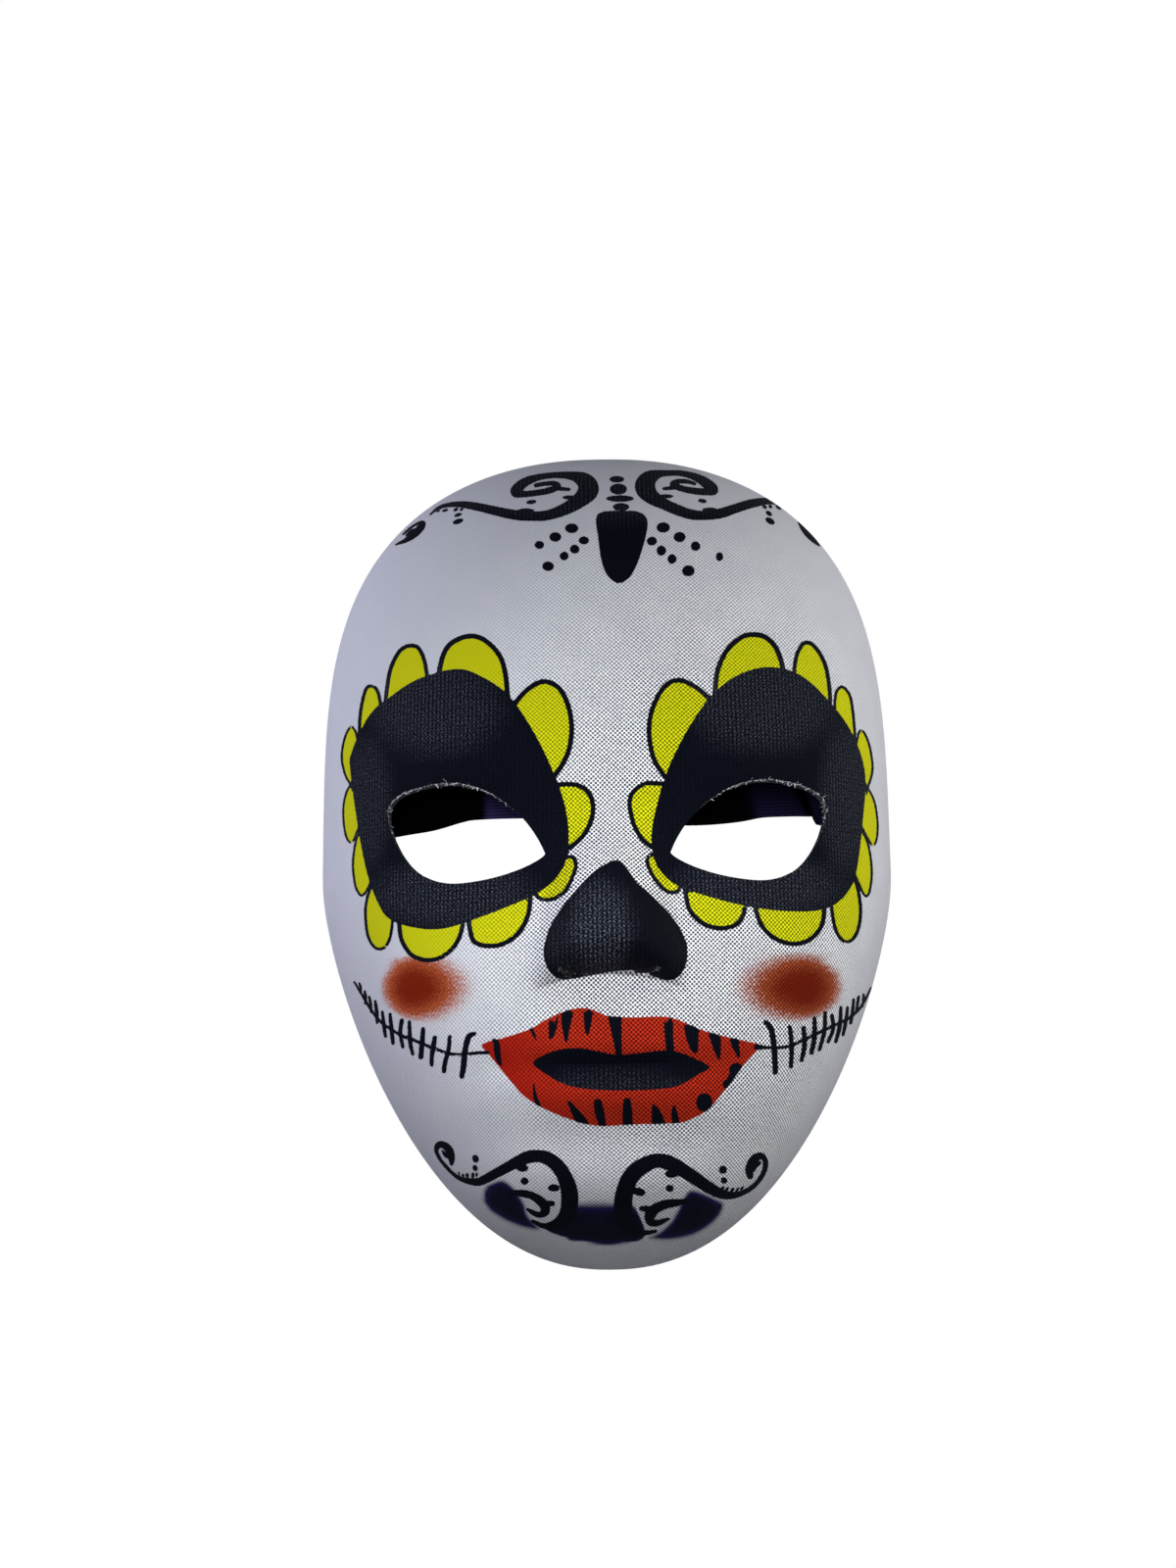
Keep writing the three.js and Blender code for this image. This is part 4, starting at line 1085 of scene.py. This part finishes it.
def makeStrap():
    line, even = strapRoute()
    bm = bmesh.new()
    bmesh.ops.create_grid(bm, x_segments=strap["across"], y_segments=strap["along"], size=1)
    bmesh.ops.solidify(bm, geom=bm.faces[:], thickness=1)
    flat = np.array([v.co for v in bm.verts])
    flat[:, 2] = (flat[:, 2] - flat[:, 2].min()) / np.ptp(flat[:, 2]) * 2 - 1
    at = (flat[:, 1] + 1) / 2 * even[-1]
    middle = np.stack([np.interp(at, even, line[:, i]) for i in range(3)], axis=1)
    slopes = np.gradient(line, even, axis=0)
    along = np.stack([np.interp(at, even, slopes[:, i]) for i in range(3)], axis=1)
    along /= np.linalg.norm(along, axis=1, keepdims=True)
    across = np.array([0, 1, 0]) - along * along[:, 1:2]
    across /= np.linalg.norm(across, axis=1, keepdims=True)
    up = np.cross(along, across)
    edge = np.clip((np.abs(flat[:, 0]) - 0.9) / 0.1, 0, 1)
    thick = strap["thickness"] / 2 * (1 - 0.55 * edge ** 2)
    placed = (middle + across * (flat[:, :1] * strap["width"] / 2)
              + up * (flat[:, 2] * thick)[:, None])
    x, z = middle[:, 0], middle[:, 2]
    folded = soft(z, *strap["foldFrom"]) * soft(z, *strap["foldTo"]) * soft(x, *strap["foldEnd"])
    folded[x < 0] = 0
    placed[:, 0] -= strap["foldSlant"] * folded * flat[:, 0] * strap["width"] / 2
    for v, point in zip(bm.verts, placed):
        v.co = point * mm
    bmesh.ops.recalc_face_normals(bm, faces=bm.faces)
    mesh = meshFrom(bm, "strap_band")
    setUv(mesh, "weave", np.stack([flat[:, 0] * strap["width"] / 2, at], axis=1))
    # Painted light and painted shadow: the band is coloured lit purple on the left, faintly before the fold
    # and on the layer folded over; elsewhere it is coloured as shaded, with a painted shadow just before the
    # fold
    paintedFoldShadow = soft(x + strap["foldSlant"] * flat[:, 0] * strap["width"] / 2, 50.5, 52.5)
    lit = np.maximum(soft(x, -35.5, -32.5) * soft(x, 20.0, 0.0), soft(x, 38.0, 43.0) * (1 - paintedFoldShadow) * 0.25)
    setValues(mesh, "lit", np.maximum(lit, soft(z, 6.5, 8.0) * soft(x, 55.2, 56.6) * 0.6))
    makePiece(mesh, "elastic_strap", strapMaterial())
    print("strap ready:", triangles(mesh), "triangles,", round(even[-1]), "mm long")


makeStrap()

# Ends of yarn round the cuts
yarn = {
    "eyeGap": 0.17, "nostrilGap": 0.16, "thick": (0.05, 0.12), "long": (0.4, 1.2), "bends": 3,
    "often": 0.6, "deep": (0.1, 0.75), "stray": 0.3, "curl": 0.22,
    "eyeOut": (-0.1, 0.5), "nostrilOut": -0.4, "nostrilLong": 0.6, "nostrilShadedTone": 0.3,
    "frayedSide": (0.6, 0.8), "frayed": (0.2, 0.6),
    "dull": (0.03, 0.03, 0.036, 1), "bright": (0.85, 0.85, 0.9, 1),
}


# The places of an outline, given at a level, where its lean takes them to the face
def onFace(places, lean, level):
    low, high = np.full(len(places), 30.0), np.full(len(places), 95.0)
    for _ in range(24):
        middle = (low + high) / 2
        shifted = places + (middle - level)[:, None] * lean
        above = faceHeight(shifted[:, 0], shifted[:, 1], outsideForms) > middle
        low, high = np.where(above, middle, low), np.where(above, high, middle)
    return np.column_stack([places + (low - level)[:, None] * lean, low])


def evenly(line, gap):
    ring = np.concatenate([line, line[:1]])
    run = np.concatenate([[0], np.cumsum(np.hypot(*np.diff(ring, axis=0).T))])
    at = np.arange(0, run[-1], gap)
    return np.stack([np.interp(at, run, ring[:, i]) for i in range(2)], axis=1)


def yarnMaterial():
    material, tree, shader = newMaterial("cut yarn", 0.8, 0.1)
    place = add(tree, "TexCoord").outputs["Object"]
    shade = calc(tree, "ADD", value(tree, "tone"), swing(tree, 0.3, place, 2500.0, 2.0))
    tree.links.new(mixColours(tree, shade, yarn["dull"], yarn["bright"]), shader.inputs["Base Color"])
    return material


# A straight bit of yarn, 1 long and 1 in radius, that is bent later
def yarnPattern():
    bm = bmesh.new()
    bmesh.ops.create_cone(bm, segments=4, radius1=1, radius2=0.6, depth=1, cap_ends=True)
    sides = [e for e in bm.edges if abs(e.verts[0].co.z - e.verts[1].co.z) > 0.5]
    bmesh.ops.subdivide_edges(bm, edges=sides, cuts=yarn["bends"])
    bmesh.ops.translate(bm, vec=(0, 0, 0.5), verts=bm.verts)
    return meshFrom(bm, "yarn pattern")


def makeYarnEnds():
    pattern = yarnPattern()
    bm = bmesh.new()
    tones = bm.verts.layers.float.new("tone")
    eye = evenly(alongCurves(cuts["eye"], 24), yarn["eyeGap"])
    x, y, wide, tall = cuts["nostril"]
    turn = np.linspace(0, 2 * math.pi, 60, endpoint=False)
    ring = np.stack([x + wide * np.cos(turn), y + tall * np.sin(turn)], axis=1)
    nostril = evenly(ring, yarn["nostrilGap"])
    for outline, lean, level in ((eye, cuts["lean"], cuts["level"]),
                                 (nostril, cuts["nostrilLean"], cuts["nostrilLevel"])):
        inward = np.roll(outline, -1, axis=0) - np.roll(outline, 1, axis=0)
        inward = np.stack([-inward[:, 1], inward[:, 0]], axis=1)
        inward /= np.linalg.norm(inward, axis=1, keepdims=True)
        if np.sum(inward * (outline.mean(axis=0) - outline)) < 0:
            inward = -inward
        roots = onFace(outline, np.array(lean), level)
        atEye = outline is eye
        share = soft(-inward @ yarn["frayedSide"], *yarn["frayed"]) if atEye else np.ones(len(outline))
        for side in (1, -1):
            for root, way, often in zip(roots, inward, share):
                if random.random() > yarn["often"] * often:
                    continue
                place = Vector(root) - Vector((*lean, 1)) * random.uniform(*yarn["deep"])
                along = Vector((*way, 0)) * (random.uniform(*yarn["eyeOut"]) if atEye else yarn["nostrilOut"])
                along += Vector((-way[1], way[0], 0)) * random.uniform(-1, 1)
                along += Vector([random.gauss(0, yarn["stray"]) for _ in range(3)])
                along.normalize()
                curl = Vector([random.gauss(0, yarn["curl"]) for _ in range(3)])
                length = random.uniform(*yarn["long"]) * (1 if atEye else yarn["nostrilLong"])
                thick = random.uniform(*yarn["thick"])
                # Painted shade: the yarn ends in the nostrils, under the nose, are toned darker than those
                # round the eyes
                tone = random.random() if atEye else random.uniform(0, yarn["nostrilShadedTone"])
                turned = along.to_track_quat("Z", "Y")
                bm.from_mesh(pattern)
                bm.verts.ensure_lookup_table()
                for v in bm.verts[-len(pattern.vertices):]:
                    t = v.co.z
                    bent = turned @ Vector((v.co.x * thick, v.co.y * thick, t * length))
                    v.co = (place + bent + curl * (t * t * length)) * mm
                    v.co.x *= side
                    v[tones] = tone
    bmesh.ops.recalc_face_normals(bm, faces=bm.faces)
    mesh = meshFrom(bm, "yarn_ends")
    makePiece(mesh, None, yarnMaterial())
    print("yarn ends ready:", triangles(mesh), "triangles")


makeYarnEnds()

# Floor and light
studio = {
    "floorSize": 3.0, "floorColour": (0.80, 0.80, 0.82, 1), "aim": (0, 0, 0.04),
    "worldColour": (0.95, 0.96, 1.0, 1), "worldStrength": 0.1,
    "lamps": {  # size, watts, place, colour
        "key": (0.25, 0.62, (0, 0.2, 0.5), (0.91, 0.96, 1)),
        "over": (0.15, 0.64, (0, -0.06, 0.5), (0.92, 0.95, 1)),
        "left": (0.15, 1.02, (-0.38, 0.11, 0.04), (0.82, 0.82, 1)),
        "right": (0.15, 0.98, (0.38, 0.11, 0.04), (1, 0.99, 0.95)),
    },
    "spot": {"size": 0.1, "watts": 9.8, "place": (0, -0.03, 0.6), "aim": (0, -0.015, 0.05),
             "halfAngle": 10.0, "colour": (0.96, 0.98, 1)},
}


def addLamp(name, kind, watts, place, aim, colour):
    lamp = bpy.data.lights.new(name, kind)
    lamp.energy, lamp.color = watts, colour
    light = addObject(name, lamp)
    light.location = place
    light.rotation_euler = (Vector(aim) - light.location).to_track_quat("-Z", "Y").to_euler()
    return lamp


# The camera sees plain white there, and all other rays see what is given
def whiteToCamera(tree, kind, given, end):
    white = add(tree, kind, {"Color": (1, 1, 1, 1), "Strength": 1.0})
    seen = add(tree, "LightPath").outputs["Is Camera Ray"]
    both = add(tree, "MixShader", {0: seen, 1: given, 2: white.outputs[0]})
    tree.links.new(both.outputs[0], tree.nodes[end].inputs["Surface"])


def makeStudio():
    bm = bmesh.new()
    bmesh.ops.create_grid(bm, x_segments=2, y_segments=2, size=studio["floorSize"])
    floor = addObject("floor", meshFrom(bm, "floor"))
    material, tree, shader = newMaterial("pale floor", 0.9)
    shader.inputs["Base Color"].default_value = studio["floorColour"]
    whiteToCamera(tree, "Emission", shader.outputs[0], "Material Output")
    floor.data.materials.append(material)
    world = bpy.data.worlds.new("studio")
    bpy.context.scene.world = world
    world.use_nodes = True
    background = world.node_tree.nodes["Background"]
    background.inputs["Color"].default_value = studio["worldColour"]
    background.inputs["Strength"].default_value = studio["worldStrength"]
    whiteToCamera(world.node_tree, "Background", background.outputs[0], "World Output")
    for name, (size, watts, place, colour) in studio["lamps"].items():
        lamp = addLamp(name, "AREA", watts, place, studio["aim"], colour)
        lamp.shape = "DISK"
        lamp.size = size
    spot = studio["spot"]
    lamp = addLamp("spot", "SPOT", spot["watts"], spot["place"], spot["aim"], spot["colour"])
    lamp.spot_size = math.radians(2 * spot["halfAngle"])
    lamp.spot_blend = 1.0
    lamp.shadow_soft_size = spot["size"] / 2
    bpy.context.scene.view_settings.view_transform = "Standard"


makeStudio()
print("studio ready")
